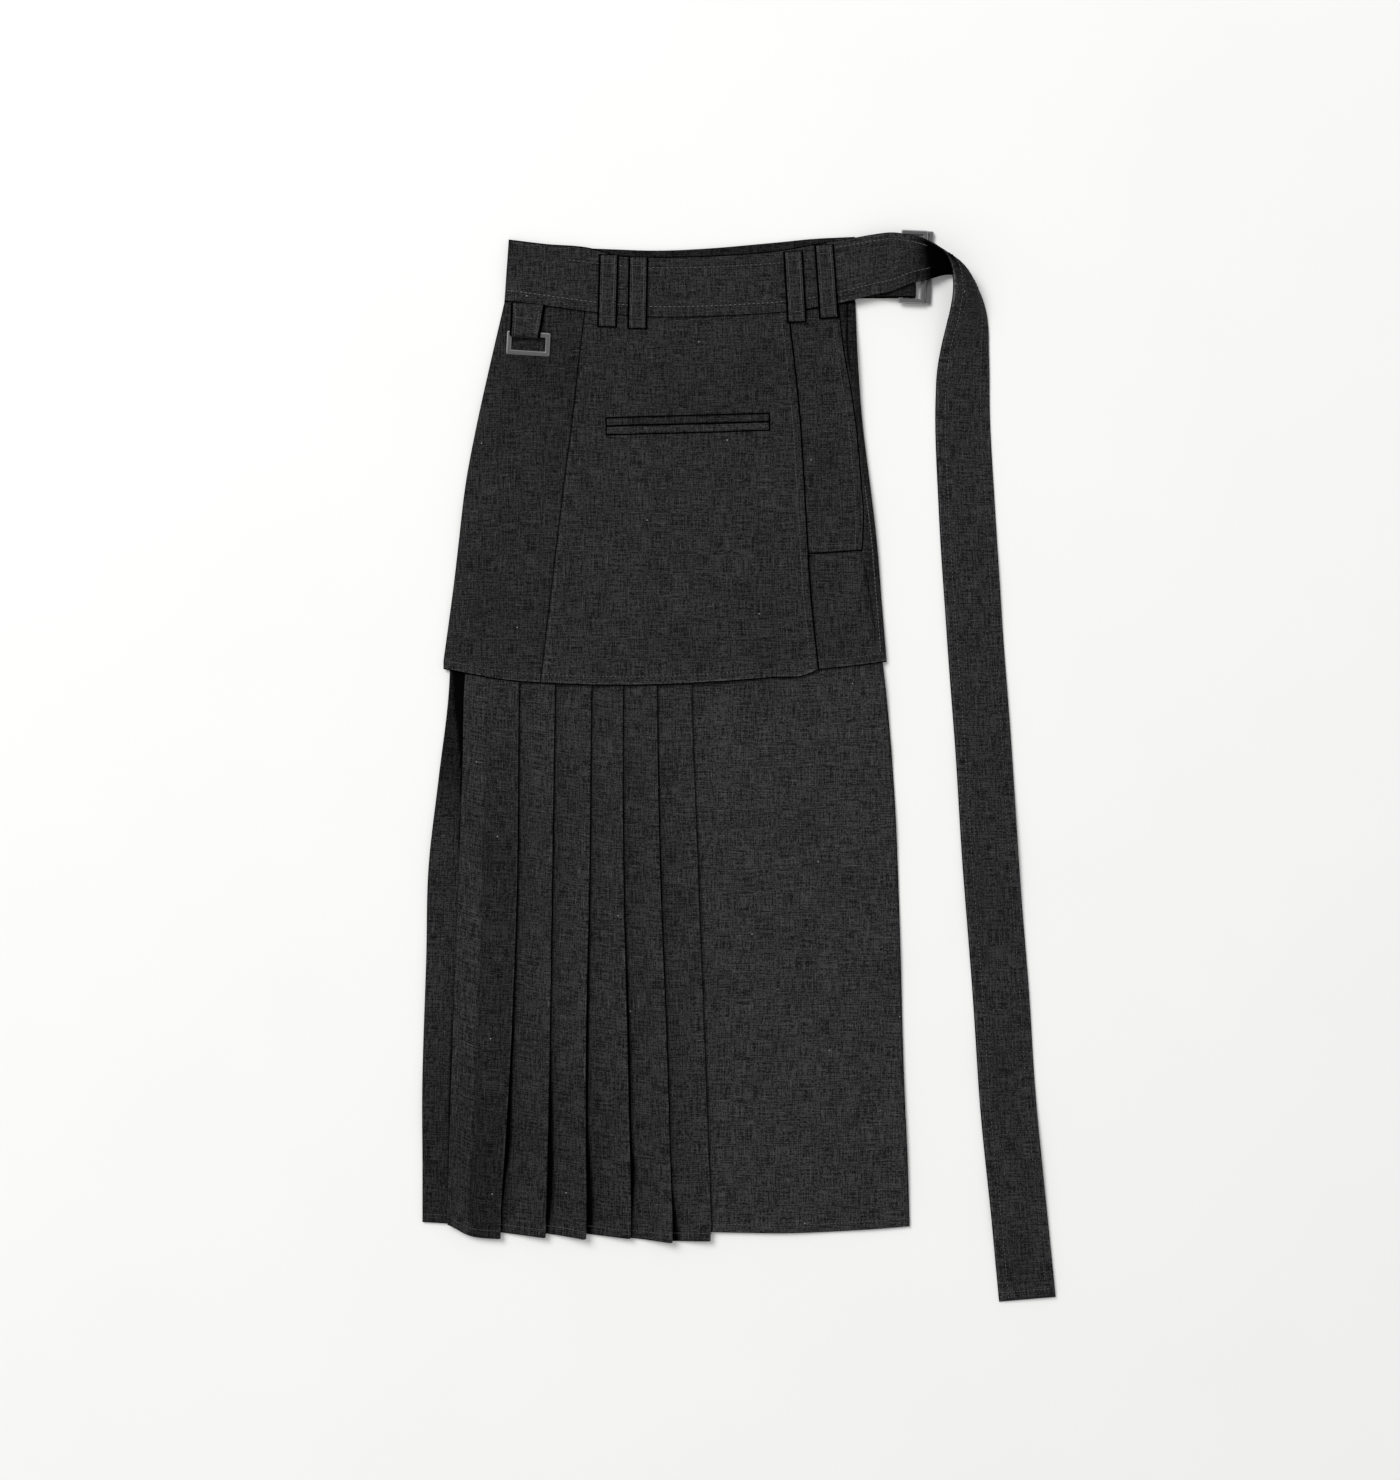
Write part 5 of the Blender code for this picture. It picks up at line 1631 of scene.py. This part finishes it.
@dataclass
class Buckle:
    """Tab on from the back waistband, folded round the left bars of two rings."""

    skirt: Skirt
    ring: FlatRing = FlatRing(24.0, 66.0, 4.5, 2.3)
    tilt: float = math.radians(-2.7)
    y: float = 448.3
    outer_x: float = 161.6
    inner_x: float = 156.2
    left: float = 105.2
    right: float = 158.8
    low_y: float = 421.7
    high_y: float = 471.7
    rise_from: float = 113.0
    rise_to: float = 137.0
    bend: float = 2.6
    shell: float = 0.9

    def build(self) -> None:
        """Loft the tab across its width, and set both rings."""
        half = CLOTH / 2
        outer_z = CLOTH + GAP
        inner_z = outer_z + self.ring.thick + GAP
        top = inner_z + self.ring.thick + GAP + half
        corners = np.array([(self.left, half), (self.right - half, half), (self.right - half, top),
                            (self.rise_to, top), (self.rise_from, half + CLOTH + GAP),
                            (self.left, half + CLOTH + GAP)])
        path = strip_path(corners, self.bend)
        path = read_path(path, np.linspace(0, along_rows(path)[-1], 60))
        across = np.linspace(self.low_y, self.high_y, 25)
        grid = np.stack(np.broadcast_arrays(path[:, :1], across[None, :], path[:, 1:]), axis=-1)
        grid = grid[::-1]
        # Painted shade over the tab, a lighter line at its lower edge, and black rims at its sides
        # as painted shadow lines.
        tab = Sheet("buckle_tab", grid, 0.25 * bell(across - self.low_y - 0.6, 1.0) - 0.45,
                    self.shell, Grain.ALONG, (0, 1.0, 0, 1.0))
        self.skirt.dress(tab, flat=(0.051, 0.112), area=0.0057, held="folded")
        for name, x, z in (("buckle_ring_outer", self.outer_x, outer_z),
                           ("buckle_ring_inner", self.inner_x, inner_z)):
            place = np.array([x, self.y, z + self.ring.thick / 2])
            mesh = self.ring.mesh(name + "_metal", place, turning(z=self.tilt))
            place_piece(mesh, self.skirt.metal, Body.SKIRT, (name,))


@dataclass
class Stitching:
    """Every row of stitches as one piece: short six-sided spindles laid end to end."""

    skirt: Skirt

    @staticmethod
    def spindles(line: Array, pitch: float, long: float, thick: float) -> Array:
        """Points of the stitches along a line.

        The line is read at even distances; each stitch is three hexagons round its chord, the
        middle one the thickest, and after it a small square at the needle's hole is painted dark as
        the pucker's shadow.
        Args:
            line: points in mm.
            pitch: distance from stitch to stitch.
            long: length of a stitch.
            thick: its diameter.
        Returns:
            Array of stitches by 22 points by 3.
        """
        centre = np.arange(pitch / 2, along_rows(line)[-1] - long / 2, pitch)
        start, stop = (read_path(line, centre + away) for away in (-long / 2, long / 2))
        ahead = stop - start
        ahead /= np.maximum(np.linalg.norm(ahead, axis=1, keepdims=True), 1e-6)
        side = np.cross(ahead, [0.0, 0.0, 1.0])
        side /= np.maximum(np.linalg.norm(side, axis=1, keepdims=True), 1e-6)
        up = np.cross(side, ahead)
        angle = np.arange(6) * math.pi / 3
        ring = (side[:, None] * np.cos(angle)[:, None] + up[:, None] * np.sin(angle)[:, None])
        rings = [place[:, None] + ring * size * thick / 2
                 for place, size in ((start, 0.45), ((start + stop) / 2, 1.0), (stop, 0.45))]
        rings[1] = rings[1] + up[:, None] * thick * 0.12
        shadow_spot = read_path(line, centre + pitch / 2)
        reach = 0.5 * (pitch - long) + 0.4
        rings.append(np.stack([shadow_spot + a * ahead * reach + b * side * thick * 1.25 - up * 0.02
                               for a, b in ((-1, -1), (-1, 1), (1, 1), (1, -1))], axis=1))
        return np.concatenate(rings, axis=1)

    def build(self) -> None:
        """Join every kept line of stitches into one mesh."""
        points = np.concatenate([self.spindles(*row) for row in self.skirt.stitches])
        k = np.arange(6)
        after = np.roll(k, -1)
        sides = np.concatenate([np.stack([k, k + 6, after + 6, after], axis=1) + 6 * ring
                                for ring in (0, 1)])
        caps = np.array([(0, 1, 2, 3), (0, 3, 4, 5), (15, 14, 13, 12), (17, 16, 15, 12)])
        one = np.concatenate([sides, caps, [(18, 19, 20, 21)]])
        quads = (one[None] + 22 * np.arange(len(points))[:, None, None]).reshape(-1, 4)
        # The square after each stitch gets -1: painted pucker shadow.
        shade = np.tile(np.repeat([0.0, -1.0], [18, 4]), len(points))
        mesh = build_mesh("stitching", points.reshape(-1, 3), quads, painted_light_and_wear=shade)
        place_piece(mesh, self.skirt.thread, Body.SKIRT)


@dataclass(frozen=True)
class Studio:
    """Pale floor, one large soft light from the upper left, white surroundings, and the camera."""

    floor_size: float = 9.0
    floor_z: float = -0.0004
    eye: tuple = (-0.0356, 0.0227, 2.204)
    lens: float = 59.46
    key_place: tuple = (-3.3, 3.6, 5.4)
    key_size: float = 4.2
    key_power: float = 380.0
    around: float = 0.56

    def lay_floor(self) -> None:
        """Put down the floor just under the garment."""
        half = self.floor_size / 2
        mesh = bpy.data.meshes.new("floor")
        mesh.from_pydata([(x, y, self.floor_z) for x, y in (
            (-half, -half), (half, -half), (half, half), (-half, half))], [], [(0, 1, 2, 3)])
        mesh.materials.append(PalePlaster().make())
        put("floor", mesh)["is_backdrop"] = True

    def set_camera(self) -> None:
        """Look straight down, the garment's waist at the top."""
        data = bpy.data.cameras.new("camera")
        data.lens = self.lens
        data.sensor_width = 36.0
        camera = put("camera", data)
        camera.location = self.eye
        bpy.context.scene.camera = camera

    def set_lights(self) -> None:
        """Hang the key light, turned to the garment, and light the surroundings evenly."""
        data = bpy.data.lights.new("key", "AREA")
        data.shape = "DISK"
        data.size = self.key_size
        data.energy = self.key_power
        key = put("key", data)
        key.location = self.key_place
        x, y, z = self.key_place
        key.rotation_euler = (math.atan2(math.hypot(x, y), z), 0, math.atan2(y, x) + math.pi / 2)
        world = bpy.data.worlds.new("studio")
        world.use_nodes = True
        fill(world.node_tree, world.node_tree.nodes["Background"],
             {"Color": (1, 1, 1, 1), "Strength": self.around})
        bpy.context.scene.world = world
        bpy.context.scene.view_settings.view_transform = "Standard"


def main(cad_box: tuple) -> None:
    """Build every sub-assembly in order, from the ground up.

    Args:
        cad_box: lowest and highest corner of the solids, as the frame gives them; not used.
    """
    studio = Studio()
    studio.set_camera()
    studio.set_lights()
    studio.lay_floor()
    skirt = Skirt(SlubLinen().make(), SewingThread().make(), CoatedZinc().make())
    Backs(skirt).build()
    LongFront(skirt).build()
    OverSkirt(skirt).build()
    WeltPocket(skirt).build()
    Waistband(skirt).build()
    Belt(skirt).build()
    SideRing(skirt).build()
    Buckle(skirt).build()
    Stitching(skirt).build()


if __name__ == "__main__":
    logging.basicConfig(level=logging.INFO, format="%(name)s: %(message)s")
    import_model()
    main(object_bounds())
